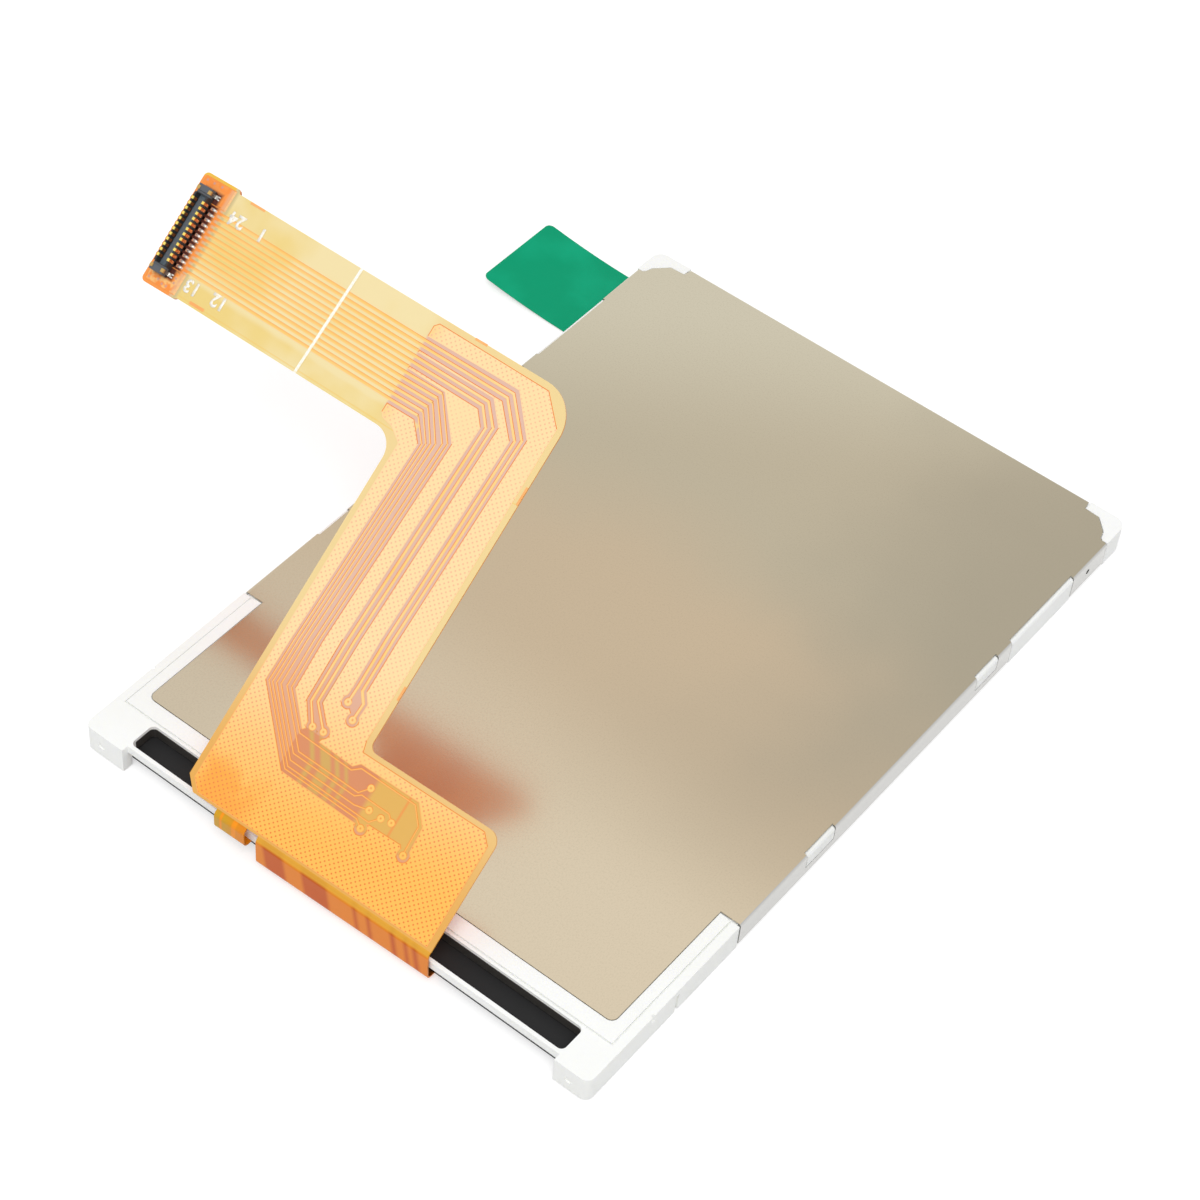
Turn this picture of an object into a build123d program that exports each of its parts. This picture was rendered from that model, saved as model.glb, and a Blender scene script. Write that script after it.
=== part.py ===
"""Small 2.4 inch liquid crystal display module with its flexible circuit, lying on its glass face.

The module lies face down: the front film is on z = 0, the metal back plate is on top, x runs along
the short side and y along the long side. The flexible circuit leaves the glass at the -y end, folds
up in front of it and rises over the back as one flat sheet. All sizes are in millimetres.
"""

import os
from math import cos, radians, sin, tan

from build123d import *

# Whole module
module_length = 61.7
module_width = 42.2
module_height = 2.34
frame_lift = 0.12

# Thickness of each layer, from the viewing side up
film_thickness = 0.06
pull_tab_thickness = 0.05
polarizer_thickness = 0.16
colour_filter_thickness = 0.40
tft_thickness = 0.40
rear_polarizer_thickness = 0.14
rim_tape_thickness = 0.05
prism_film_thickness = 0.07
diffuser_thickness = 0.06
reflector_thickness = 0.08
can_thickness = 0.20

# Glass, as distances from the sides and ends of the module
glass_side_inset = 0.75
glass_start_inset = 0.95
glass_end_inset = 0.75
driver_ledge = 3.3
polarizer_margin = 0.45
film_peel_margin = 1.0
film_end_margin = 0.2
film_corner = 0.8

# Driver chip and the bonded edge of the flexible circuit
chip_length = 14.2
chip_width = 1.0
chip_height = 0.28
chip_from_filter = 0.5
bond_thickness = 0.03
bond_width = 1.1
foot_past_bond = 0.2
ledge_tape_thickness = 0.05
ledge_tape_margin = 0.1

# Backlight, as distances from the sides and ends of the module, then from its own lower end
optics_side_inset = 2.15
optics_start_inset = 4.95
optics_end_inset = 1.65
optics_clearance = 0.05
rim_tape_overlap = 0.55
rim_tape_glass_margin = 0.05
window_inset_from_optics = 3.1
light_guide_inset = 1.0
film_inset = 2.1
led_flex_reach = 2.0
led_flex_side_gap = 0.95
led_flex_thickness = 0.10
led_count = 4
led_pitch = 8.6
led_length = 3.8
led_depth = 0.8
led_height = 0.60
led_face_margin = 0.4
led_face_rim = 0.1
led_face_depth = 0.15
led_gap = 0.05

# Pull tab of the front film
tab_width = 8.0
tab_centre_inset = 5.95
tab_root_inset = 0.25
tab_reach = 9.35
tab_glued_length = 0.7
tab_tip_rise = 0.75
tab_corner = 0.5

# Mould frame
frame_wall_clearance = 0.05
post_depth = 1.2
pad_end_gap = 0.1
pad_drop = 0.03
glass_clearance = 0.10
block_corner_radius = 0.6
post_corner_radius = 0.9
slot_left_inset = 3.4
slot_right_inset = 2.7
slot_near_inset = 0.80
slot_far_inset = 2.90
slot_corner = 0.4
bar_front_inset = 0.52
bar_height = 0.66
rail_length = 15.31
deck_drop = 0.08
lip_side_inset = 0.73
lip_end_inset = 3.18
lip_gap = 0.06
lip_end_radius = 0.39
groove_width = 0.10
groove_depth = 0.12
side_notch_inset = 8.95
side_notch_width = 0.34
side_notch_depth = 0.15
side_notch_drop = 0.5
pip_inset = 6.45
pip_radius = 0.14
pip_depth = 0.6
dimple_radius = 0.28
dimple_depth = 0.08
dimple_inset = 1.5
dimple_z = 1.15
tail_notch_height = 0.30
tail_notch_margin = 0.35

# Metal back plate: its cut corners are distances from the side and the far end, and its windows
# are distances of their lower and upper ends from the far end
can_rail_gap = 0.14
can_wall_end_inset = 2.70
can_wall_bottom = 0.30
can_narrow_inset = 1.61
can_low_end_inset = 4.39
can_end_wall_inset = 3.20
can_bend_radius = 0.28
seat_corner = 0.5
can_corner_insets = [(3.05, 0.85), (1.85, 0.93), (0.85, 1.95), (0.68, 2.50), (0.50, 2.70)]
catch_window_insets = [(39.04, 35.88), (19.28, 16.62)]
catch_depth = 1.35
long_window_insets = (14.95, 7.03)
window_inset = 0.30
lug_clearance = 0.06
lug_root = 0.3
lug_slope = 0.2
pin_hole_gap = 2.08
pin_hole_z = 1.25
pin_hole_radius = 0.20
post_gap = 0.05

# Flexible circuit: a plane that rises over the back, turned a little about z. Its arm is turned a
# little more in that plane, and arm_top and arm_bottom are where its edges meet the strip's left side
flex_thickness = 0.12
flex_off_centre = -2.2
flex_fold_inset = 0.29
flex_fold_rise = 0.84
flex_rise = 36.53
flex_turn = 1.45
arm_turn = 1.0
fold_stand_off = 0.28
fold_radius = 0.60
curl_radius = 0.50
sheet_lap = 0.2
flex_left = -10.15
arm_right = -0.35
arm_top = 34.25
arm_bottom = 26.19
panel_right = 10.3
panel_top = 8.42
reach_left = -32.2
pad_start = -29.1
pad_overhang = 0.26
pad_underhang = 0.14
pad_step = 0.20
strip_left = -3.75
strip_bottom_chamfer = 0.9
outer_turn_radius = 2.7
inner_turn_radius = 1.65
panel_turn_radius = 0.6
panel_corner_radius = 0.9
pad_corner_radius = 0.35

# Tail of the backlight, soldered under the flexible circuit
tail_left = -7.25
tail_right = -4.75
tail_lap = 2.6

# Copper under the cover film
copper_thickness = 0.02
pour_inset = 0.42
pour_start = -11.9
pour_corner = 0.3
arm_run_width = 0.20
thin_run_width = 0.11
run_drop = 0.34
via_radius = 0.27
via_clearance = 0.17
trace_pad_gap = 0.02
pour_fold_margin = 0.15
pour_top_inset = 0.32
pour_chamfer = 0.7
pour_turn_chamfer = 1.85
field_inset = 0.20
field_gap = 0.25
field_runs_margin = 0.05

# Board-to-board connector
contact_count = 12
contact_pitch = 0.40
connector_from_end = 1.10
connector_length = 6.6
connector_width = 1.10
connector_height = 0.80
channel_width = 0.82
channel_floor = 0.18
channel_corner = 0.12
channel_end_room = 0.27
end_step_width = 0.22
end_step_depth = 0.18
end_step_gap = 0.09
contact_width = 0.20
contact_thickness = 0.05
contact_foot = 0.36
nail_width = 0.26
nail_foot = 0.24
nail_inset = 0.29
stiffener_thickness = 0.20

# How far cuts run past what they cut, and how near an edge counts as found
overcut = 1.0
near = 0.01

half_length = module_length / 2
half_width = module_width / 2


def from_low_end(inset):
    """Height along y of something that lies some way from the end where the circuit leaves."""
    return inset - half_length


def from_far_end(inset):
    """Height along y of something that lies some way from the other end."""
    return half_length - inset


# Heights of the stack, worked out from the layers
polarizer_z = film_thickness
colour_filter_z = polarizer_z + polarizer_thickness
tft_z = colour_filter_z + colour_filter_thickness
tft_top = tft_z + tft_thickness
rim_tape_z = tft_top + rear_polarizer_thickness
optics_z = rim_tape_z + rim_tape_thickness
upper_prism_z = optics_z
lower_prism_z = upper_prism_z + prism_film_thickness
diffuser_z = lower_prism_z + prism_film_thickness
light_guide_z = diffuser_z + diffuser_thickness
can_inner_z = module_height - can_thickness
reflector_z = can_inner_z - reflector_thickness
light_guide_thickness = reflector_z - light_guide_z
led_flex_z = light_guide_z - led_flex_thickness
foot_top = tft_z - bond_thickness
foot_bottom = foot_top - flex_thickness

# Places worked out from the edges of the module
glass_half = half_width - glass_side_inset
glass_start = from_low_end(glass_start_inset)
glass_end = from_far_end(glass_end_inset)
filter_start = glass_start + driver_ledge
pocket_half = glass_half + glass_clearance
optics_half = half_width - optics_side_inset
optics_start = from_low_end(optics_start_inset)
optics_end = from_far_end(optics_end_inset)
light_guide_start = optics_start + light_guide_inset
wall_x = half_width - can_thickness - frame_wall_clearance
wall_y = half_length - can_thickness - frame_wall_clearance
slot_left = slot_left_inset - half_width
slot_right = half_width - slot_right_inset
slot_near = from_low_end(slot_near_inset)
slot_far = from_low_end(slot_far_inset)
bar_front = from_low_end(bar_front_inset)
rail_end_y = from_low_end(rail_length)
lip_outer_x = half_width - lip_side_inset
lip_end_y = from_low_end(lip_end_inset)
side_notch_y = from_low_end(side_notch_inset)
pip_y = from_low_end(pip_inset)
can_wall_start = rail_end_y + can_rail_gap
can_wall_end = from_far_end(can_wall_end_inset)
can_narrow_x = half_width - can_narrow_inset
can_narrow_y = from_low_end(can_low_end_inset)
can_end_wall_half = half_width - can_end_wall_inset
can_corner_cut = [(half_width - x, from_far_end(y)) for x, y in can_corner_insets]
catch_windows = [(from_far_end(low), from_far_end(high)) for low, high in catch_window_insets]
long_window = tuple(from_far_end(inset) for inset in long_window_insets)
pin_hole_y = long_window[1] + pin_hole_gap
flex_fold = (flex_off_centre, from_low_end(flex_fold_inset), module_height + flex_fold_rise)

os.makedirs("parts", exist_ok=True)


def save(piece, name):
    """Label a finished piece and write it as its own file."""
    piece.part.label = name
    export_step(piece.part, f"parts/{name}.step")


def plate(x_low, x_high, y_low, y_high, z_low, thickness, corner=0.0):
    """Flat sheet between two corners, with rounded corners if a radius is given."""
    with BuildPart() as sheet:
        with BuildSketch(Plane.XY.offset(z_low)):
            with Locations(((x_low + x_high) / 2, (y_low + y_high) / 2)):
                if corner > 0:
                    RectangleRounded(x_high - x_low, y_high - y_low, corner)
                else:
                    Rectangle(x_high - x_low, y_high - y_low)
        extrude(amount=thickness)
    return sheet


def cut_box(x_low, x_high, y_low, y_high, z_low, z_high):
    """Remove a block between two corners from the piece being built."""
    middle = ((x_low + x_high) / 2, (y_low + y_high) / 2, (z_low + z_high) / 2)
    with Locations(middle):
        Box(x_high - x_low, y_high - y_low, z_high - z_low, mode=Mode.SUBTRACT)


def seat_outline(grow, far_y):
    """Outline of the narrow end of the back plate, grown all round, with its two rounded corners."""
    half = can_narrow_x + grow
    low = can_narrow_y - grow
    with BuildSketch(mode=Mode.PRIVATE) as seat:
        with Locations((0, (low + far_y) / 2)):
            Rectangle(2 * half, far_y - low)
        fillet(seat.vertices().group_by(Axis.Y)[0], seat_corner + grow)
    add(seat.sketch)


# Front film and its pull tab
polarizer_half = glass_half - polarizer_margin
film_left = -(polarizer_half + film_peel_margin)
protective_film = plate(
    film_left,
    polarizer_half,
    filter_start + film_end_margin,
    glass_end - film_end_margin,
    0,
    film_thickness,
    film_corner,
)
save(protective_film, "protective_film")

tab_centre_y = from_far_end(tab_centre_inset)
tab_root_x = tab_root_inset - half_width
tab_tip_x = tab_root_x - tab_reach
tab_bend_radius = (tab_reach**2 + tab_tip_rise**2) / (2 * tab_tip_rise)
tab_length = tab_reach + tab_glued_length
with BuildPart() as pull_tab:
    with BuildSketch(Plane.XZ.offset(-tab_centre_y)):
        with BuildLine():
            Line((tab_root_x + tab_glued_length, film_thickness), (tab_root_x, film_thickness))
            RadiusArc(
                (tab_root_x, film_thickness),
                (tab_tip_x, film_thickness + tab_tip_rise),
                tab_bend_radius,
            )
            offset(amount=pull_tab_thickness, side=Side.RIGHT)
        make_face()
    extrude(amount=tab_width / 2, both=True)
    with BuildSketch():
        with Locations((tab_tip_x + tab_length / 2, tab_centre_y)):
            RectangleRounded(tab_length, tab_width, tab_corner)
    extrude(amount=module_height, mode=Mode.INTERSECT)
save(pull_tab, "pull_tab")

# Panel: polarizers and the two glasses
front_polarizer = plate(
    -polarizer_half,
    polarizer_half,
    filter_start + polarizer_margin,
    glass_end - polarizer_margin,
    polarizer_z,
    polarizer_thickness,
)
save(front_polarizer, "front_polarizer")

colour_filter_glass = plate(
    -glass_half, glass_half, filter_start, glass_end, colour_filter_z, colour_filter_thickness
)
save(colour_filter_glass, "colour_filter_glass")

tft_glass = plate(-glass_half, glass_half, glass_start, glass_end, tft_z, tft_thickness)
save(tft_glass, "tft_glass")

rear_polarizer = plate(
    -polarizer_half,
    polarizer_half,
    filter_start,
    glass_end - polarizer_margin,
    tft_top,
    rear_polarizer_thickness,
)
save(rear_polarizer, "rear_polarizer")

chip_far = filter_start - chip_from_filter
driver_chip = plate(
    -chip_length / 2, chip_length / 2, chip_far - chip_width, chip_far, tft_z - chip_height, chip_height
)
save(driver_chip, "driver_chip")

ledge_tape = plate(
    -(glass_half - ledge_tape_margin),
    glass_half - ledge_tape_margin,
    glass_start + ledge_tape_margin,
    filter_start - ledge_tape_margin,
    tft_top,
    ledge_tape_thickness,
)
save(ledge_tape, "ledge_tape")

# Light-blocking tape that holds the panel to the frame, with its viewing window
with BuildPart() as rim_tape:
    tape_half = glass_half - rim_tape_glass_margin
    tape_end = glass_end - rim_tape_glass_margin
    window_half = optics_half - rim_tape_overlap
    window_start = optics_start + window_inset_from_optics
    window_end = optics_end - rim_tape_overlap
    with BuildSketch(Plane.XY.offset(rim_tape_z)):
        with Locations((0, (filter_start + tape_end) / 2)):
            Rectangle(2 * tape_half, tape_end - filter_start)
        with Locations((0, (window_start + window_end) / 2)):
            Rectangle(2 * window_half, window_end - window_start, mode=Mode.SUBTRACT)
    extrude(amount=rim_tape_thickness)
save(rim_tape, "rim_tape")

# Backlight sheets
film_half = optics_half - optics_clearance
film_end = optics_end - optics_clearance
film_start = optics_start + film_inset
sheets = {
    "upper_prism_film": (film_start, upper_prism_z, prism_film_thickness),
    "lower_prism_film": (film_start, lower_prism_z, prism_film_thickness),
    "diffuser_film": (film_start, diffuser_z, diffuser_thickness),
    "light_guide": (light_guide_start, light_guide_z, light_guide_thickness),
    "reflector_film": (optics_start + optics_clearance, reflector_z, reflector_thickness),
}
for sheet_name, (start, z_low, thickness) in sheets.items():
    save(plate(-film_half, film_half, start, film_end, z_low, thickness), sheet_name)

# Planes of the flexible circuit: its vertical fold and its rising sheet
turn = radians(flex_turn)
rise = radians(flex_rise)
across = (cos(turn), sin(turn), 0)
inward = (-sin(turn), cos(turn), 0)
sheet_normal = (sin(turn) * sin(rise), -cos(turn) * sin(rise), cos(rise))
sheet_plane = Plane(origin=flex_fold, x_dir=across, z_dir=sheet_normal)
fold_plane = Plane(origin=(flex_fold[0], flex_fold[1], 0), x_dir=inward, z_dir=across)
fold_height = flex_fold[2]


def sheet_point(along, depth=0.0):
    """Point of the fold plane that lies on the rising sheet, some way under its top face."""
    return (
        along * cos(rise) + depth * sin(rise),
        fold_height + along * sin(rise) - depth * cos(rise),
    )


def folded_strip(start_inward, bottom_z, lap, depth, thickness, left, right, radii):
    """Strip that leaves the glass edge, turns up in front of it and bends into the rising sheet."""
    corner_z = sheet_point(0, depth)[1] - (fold_stand_off + sheet_point(0, depth)[0]) * tan(rise)
    with BuildPart() as strip:
        with BuildSketch(fold_plane.offset(left)):
            with BuildLine():
                FilletPolyline(
                    (start_inward, bottom_z),
                    (-fold_stand_off, bottom_z),
                    (-fold_stand_off, corner_z),
                    sheet_point(lap, depth),
                    radius=radii,
                )
                offset(amount=thickness, side=Side.RIGHT)
            make_face()
        extrude(amount=right - left)
    return strip


# Backlight strip with its tail, and the light-emitting diodes on it
led_start = light_guide_start - led_gap - led_depth
led_flex_half = optics_half - led_flex_side_gap
with BuildPart() as led_flex:
    add(
        plate(
            -led_flex_half,
            led_flex_half,
            led_start - led_gap,
            optics_start + led_flex_reach,
            led_flex_z,
            led_flex_thickness,
        )
    )
    add(
        folded_strip(
            -flex_fold[1] + led_start + led_depth / 2,
            led_flex_z,
            tail_lap,
            flex_thickness,
            led_flex_thickness,
            tail_left,
            tail_right,
            curl_radius,
        )
    )
save(led_flex, "led_flex")

with BuildPart() as leds:
    with BuildSketch(Plane.XY.offset(led_flex_z + led_flex_thickness)):
        with Locations((0, led_start + led_depth / 2)):
            with GridLocations(led_pitch, 1, led_count, 1):
                Rectangle(led_length, led_depth)
    extrude(amount=led_height)
    with BuildSketch(Plane(origin=(0, led_start + led_depth, 0), x_dir=(-1, 0, 0), z_dir=(0, 1, 0))):
        with Locations((0, led_flex_z + led_flex_thickness + led_height / 2)):
            with GridLocations(led_pitch, 1, led_count, 1):
                Rectangle(led_length - 2 * led_face_margin, led_height - 2 * led_face_rim)
    extrude(amount=-led_face_depth, mode=Mode.SUBTRACT)
save(leds, "leds")

# Mould frame: one moulding with corner blocks, driver slot, side rails, lugs and a raised lip
deck_z = module_height - deck_drop
with BuildPart() as mould_frame:
    with BuildSketch(Plane.XY.offset(frame_lift)):
        with Locations((0, (-half_length + wall_y) / 2)):
            Rectangle(2 * wall_x, wall_y + half_length)
    extrude(amount=can_inner_z - frame_lift)
    with BuildSketch(Plane.XY.offset(frame_lift)):
        with Locations((0, (-half_length + rail_end_y) / 2)):
            Rectangle(module_width, rail_end_y + half_length)
    extrude(amount=deck_z - frame_lift)
    block_edges = mould_frame.edges().filter_by(Axis.Z).group_by(Axis.Y)[0]
    fillet(block_edges, block_corner_radius)
    with BuildSketch(Plane.XY.offset(frame_lift)):
        for side in (-1, 1):
            with BuildLine():
                Polyline(
                    (side * (can_end_wall_half + post_gap), half_length),
                    (side * half_width, half_length),
                    (side * half_width, can_wall_end + post_gap),
                    (side * (wall_x - post_depth), can_wall_end + post_gap),
                    (side * (can_end_wall_half + post_gap), wall_y - post_depth),
                    close=True,
                )
            make_face()
    extrude(amount=can_inner_z - frame_lift)
    # Raised corner pads that fill the cut corners of the back plate
    with BuildSketch(Plane.XY.offset(can_inner_z)):
        for side in (-1, 1):
            with BuildLine():
                Polyline(
                    (side * (can_end_wall_half + post_gap + pad_end_gap), half_length),
                    *[(side * (x + post_gap), y + post_gap) for x, y in can_corner_cut],
                    (side * half_width, can_wall_end + post_gap),
                    (side * half_width, half_length),
                    close=True,
                )
            make_face()
    extrude(amount=can_thickness - pad_drop)
    post_edges = mould_frame.edges().filter_by(Axis.Z).filter_by(
        lambda edge: abs(abs(edge.center().X) - half_width) < near and edge.center().Y > half_length - near
    )
    fillet(post_edges, post_corner_radius)
    # Raised lip round the lower end of the back plate, and the seat of the plate inside it
    with BuildSketch(Plane.XY.offset(can_inner_z)):
        with Locations((0, (lip_end_y + rail_end_y) / 2)):
            Rectangle(2 * lip_outer_x, rail_end_y - lip_end_y)
    extrude(amount=module_height - can_inner_z)
    with BuildSketch(Plane.XY.offset(can_inner_z)):
        seat_outline(lip_gap, rail_end_y + overcut)
    extrude(amount=module_height, mode=Mode.SUBTRACT)
    arm_edges = mould_frame.edges().filter_by(Axis.Z).filter_by(
        lambda edge: edge.center().Z > deck_z and abs(edge.center().Y - rail_end_y) < near
    )
    fillet(arm_edges, lip_end_radius)
    # Groove beside the lip
    for side in (-1, 1):
        groove_x = side * (lip_outer_x + groove_width / 2)
        cut_box(
            groove_x - groove_width / 2,
            groove_x + groove_width / 2,
            lip_end_y - groove_width,
            rail_end_y + overcut,
            deck_z - groove_depth,
            module_height,
        )
    cut_box(
        -lip_outer_x, lip_outer_x, lip_end_y - groove_width, lip_end_y, deck_z - groove_depth, module_height
    )
    # Lugs that fill the windows of the back plate, with a sloped top edge
    lug_top = deck_z - lug_clearance
    lug_spans = [(span, module_height - catch_depth + lug_clearance) for span in catch_windows]
    for (low, high), lug_low in [*lug_spans, (long_window, frame_lift)]:
        for side in (-1, 1):
            with BuildSketch(Plane.XZ.offset(-(high - lug_clearance))):
                with BuildLine():
                    Polyline(
                        (side * (wall_x - lug_root), lug_low),
                        (side * half_width, lug_low),
                        (side * half_width, lug_top - lug_slope),
                        (side * (half_width - lug_slope / 2), lug_top),
                        (side * (half_width - window_inset + lug_clearance), lug_top),
                        (side * (half_width - window_inset + lug_clearance), can_inner_z),
                        (side * (wall_x - lug_root), can_inner_z),
                        close=True,
                    )
                make_face()
            extrude(amount=high - low - 2 * lug_clearance)
    # Pocket of the panel, open at the front
    cut_box(
        -pocket_half,
        pocket_half,
        glass_start - glass_clearance,
        glass_end + glass_clearance,
        frame_lift - overcut,
        optics_z,
    )
    # Pocket of the backlight, open to the back plate
    cut_box(-optics_half, optics_half, optics_start, optics_end, rim_tape_z, module_height + overcut)
    # Slot over the driver ledge, and the open front between the corner blocks
    with BuildSketch(Plane.XY.offset(rim_tape_z)):
        with Locations(((slot_left + slot_right) / 2, (slot_near + slot_far) / 2)):
            RectangleRounded(slot_right - slot_left, slot_far - slot_near, slot_corner)
    extrude(amount=module_height, mode=Mode.SUBTRACT)
    cut_box(slot_left, slot_right, -half_length - overcut, bar_front, 0, module_height)
    cut_box(slot_left, slot_right, bar_front - overcut, slot_near + slot_corner, 0, deck_z - bar_height)
    # Way out of the backlight tail under the end rail
    cut_box(
        flex_fold[0] + tail_left - tail_notch_margin,
        flex_fold[0] + tail_right + tail_notch_margin,
        slot_near,
        optics_start + overcut,
        rim_tape_z,
        optics_z + tail_notch_height,
    )
    # Small notches and marks on the rails
    for side in (-1, 1):
        x_face = side * half_width
        cut_box(
            x_face - side_notch_depth,
            x_face + side_notch_depth,
            side_notch_y - side_notch_width / 2,
            side_notch_y + side_notch_width / 2,
            0,
            deck_z - side_notch_drop,
        )
        with Locations(Location((x_face, pip_y, deck_z), (0, 0, 0))):
            Cylinder(pip_radius, 2 * pip_depth, mode=Mode.SUBTRACT)
        with Locations(Location((side * (half_width - dimple_inset), -half_length, dimple_z), (90, 0, 0))):
            Cylinder(dimple_radius, 2 * dimple_depth, mode=Mode.SUBTRACT)
save(mould_frame, "mould_frame")

# Folded metal back plate
with BuildPart() as rear_can:
    with BuildSketch(Plane.XY.offset(can_wall_bottom)):
        with BuildLine():
            right_side = [
                (half_width, can_wall_start),
                (half_width, can_wall_end),
                *reversed(can_corner_cut),
                (can_end_wall_half, half_length),
            ]
            left_side = [(-x, y) for x, y in reversed(right_side)]
            Polyline(*right_side, *left_side, close=True)
        make_face()
    extrude(amount=module_height - can_wall_bottom)
    top_rim = rear_can.edges().filter_by(
        lambda edge: abs(edge.center().Z - module_height) < near
        and (
            abs(abs(edge.center().X) - half_width) < near
            or abs(edge.center().Y - half_length) < near
        )
    )
    fillet(top_rim, can_bend_radius)
    inside_x = half_width - can_thickness
    inside_y = half_length - can_thickness
    cut_box(-inside_x, inside_x, can_wall_start - overcut, inside_y, 0, can_inner_z)
    # Take the corners out under the plate, so that only the three walls stay
    for side in (-1, 1):
        x_pair = sorted((side * can_end_wall_half, side * (half_width + overcut)))
        cut_box(*x_pair, can_wall_end, half_length + overcut, 0, can_inner_z)
    with BuildSketch(Plane.XY.offset(can_inner_z)):
        seat_outline(0, can_wall_start + overcut)
    extrude(amount=can_thickness)
    for side in (-1, 1):
        x_pair = sorted((side * (half_width - window_inset), side * (half_width + overcut)))
        for low, high in catch_windows:
            cut_box(*x_pair, low, high, module_height - catch_depth, module_height + overcut)
        cut_box(*x_pair, *long_window, 0, module_height + overcut)
        with Locations(Location((side * half_width, pin_hole_y, pin_hole_z), (0, 90, 0))):
            Cylinder(pin_hole_radius, 4 * can_thickness, mode=Mode.SUBTRACT)
save(rear_can, "rear_can")

# Flexible circuit: outline of the rising sheet, then the folded strip down to the glass
arm_slope = tan(radians(arm_turn))


def arm_shift(along):
    """How far the turned arm has moved up the sheet at some place along it."""
    return (flex_left - along) * arm_slope


pad_top = arm_top + arm_shift(pad_start) + pad_overhang
pad_bottom = arm_bottom + arm_shift(pad_start) - pad_underhang
foot_inner = -flex_fold[1] + glass_start + bond_width + foot_past_bond
with BuildPart() as main_flex:
    with BuildSketch(sheet_plane.offset(-flex_thickness)):
        with BuildLine():
            Polyline(
                (flex_left + strip_bottom_chamfer, 0),
                (panel_right, 0),
                (panel_right, panel_top),
                (arm_right, panel_top),
                (arm_right, arm_top + arm_shift(arm_right)),
                (pad_start, arm_top + arm_shift(pad_start)),
                (pad_start - pad_step, pad_top),
                (reach_left, pad_top),
                (reach_left, pad_bottom),
                (pad_start - pad_step, pad_bottom),
                (pad_start, arm_bottom + arm_shift(pad_start)),
                (flex_left, arm_bottom),
                (flex_left, strip_bottom_chamfer),
                close=True,
            )
        make_face()
        corners = [
            ((arm_right, arm_top + arm_shift(arm_right)), outer_turn_radius),
            ((flex_left, arm_bottom), inner_turn_radius),
            ((arm_right, panel_top), panel_turn_radius),
            ((panel_right, panel_top), panel_corner_radius),
            ((reach_left, pad_top), pad_corner_radius),
            ((reach_left, pad_bottom), pad_corner_radius),
        ]
    extrude(amount=flex_thickness)
    for (corner_x, corner_y), radius in corners:
        top = sheet_plane.from_local_coords(Vector(corner_x, corner_y, 0))
        upright = main_flex.edges().filter_by(Axis((0, 0, 0), sheet_normal)).sort_by_distance(top)[0]
        fillet(upright, radius)
    add(
        folded_strip(
            foot_inner,
            foot_bottom,
            sheet_lap,
            0,
            flex_thickness,
            strip_left,
            panel_right,
            [curl_radius, fold_radius],
        )
    )
save(main_flex, "main_flex")

with BuildPart() as bond_film:
    with BuildSketch(Plane(origin=(flex_fold[0], flex_fold[1], foot_top), x_dir=across, z_dir=(0, 0, 1))):
        with Locations(((strip_left + panel_right) / 2, foot_inner - bond_width / 2)):
            Rectangle(panel_right - strip_left, bond_width)
    extrude(amount=bond_thickness)
save(bond_film, "bond_film")

# Copper: the runs start at the connector's feet, one to a contact, and each group of runs follows
# its own corridor through the copper pour. Points are along and up the rising sheet.
connector_x = reach_left + connector_from_end
connector_y = (pad_top + pad_bottom) / 2
lowest_contact = connector_y - contact_pitch * (contact_count - 1) / 2
runs_start_x = connector_x + connector_width / 2 + trace_pad_gap
corridor_edges = {
    "strip": (
        [(-9.63, 27.75), (-8.49, 26.52), (-8.97, 11.60), (-9.00, 8.63)],
        [(-8.79, 30.24), (-6.48, 27.60), (-7.00, 12.70), (-6.93, 9.15)],
    ),
    "middle": (
        [(-6.18, 30.42), (-5.34, 29.46), (-5.84, 13.40), (-5.80, 8.90)],
        [(-5.64, 31.47), (-4.29, 30.00), (-4.79, 13.90), (-4.78, 9.35)],
    ),
    "right": (
        [(-5.01, 31.62), (-3.12, 29.64), (-3.55, 14.70), (-3.52, 11.60)],
        [(-4.41, 32.73), (-2.16, 30.24), (-2.55, 15.20), (-2.55, 11.20)],
    ),
}
corridor_contacts = {"strip": range(0, 6), "middle": range(7, 9), "right": range(10, 12)}
ground_contacts = [6, 9]
# Where each run lies between its corridor's edges, at the first bend and at those after it
corridor_shares = {
    "strip": ([0.13, 0.29, 0.45, 0.61, 0.77, 0.93], [0.106, 0.230, 0.365, 0.519, 0.723, 0.881]),
    "middle": ([0.31, 0.69], [0.29, 0.71]),
    "right": ([0.31, 0.69], [0.29, 0.71]),
}
panel_rows = [4.51, 4.75, 5.16, 5.62, 5.90, 6.92]
run_ends = {
    0: [(1.40, 4.38), (1.95, 4.00)],
    1: [(2.20, 4.60), (2.78, 5.22)],
    2: [(0.75, 5.02), (1.82, 5.25)],
    3: [(0.45, 5.50), (0.85, 5.80), (3.10, 5.74), (3.55, 5.35)],
    4: [(0.55, 5.80), (1.15, 6.47)],
    5: [(-0.65, 6.75), (-0.10, 7.18), (4.30, 7.12), (5.25, 6.05), (5.30, 4.40), (5.36, 4.05)],
    7: [(-4.49, 7.70)],
    8: [(-3.65, 7.79)],
    10: [(-3.28, 10.25)],
    11: [(-2.30, 10.65), (-2.36, 9.43)],
}
bare_window = [
    (-4.73, 4.28),
    (1.50, 4.10),
    (2.30, 4.50),
    (4.85, 4.55),
    (5.05, 4.30),
    (5.60, 4.35),
    (5.48, 6.15),
    (4.42, 7.35),
    (-0.27, 7.38),
    (-0.70, 6.96),
    (-3.60, 7.08),
    (-3.40, 7.60),
    (-4.60, 7.60),
    (-5.02, 7.17),
]


def between(first, second, share):
    """Point that lies some share of the way from one point to another."""
    return (first[0] + (second[0] - first[0]) * share, first[1] + (second[1] - first[1]) * share)


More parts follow.
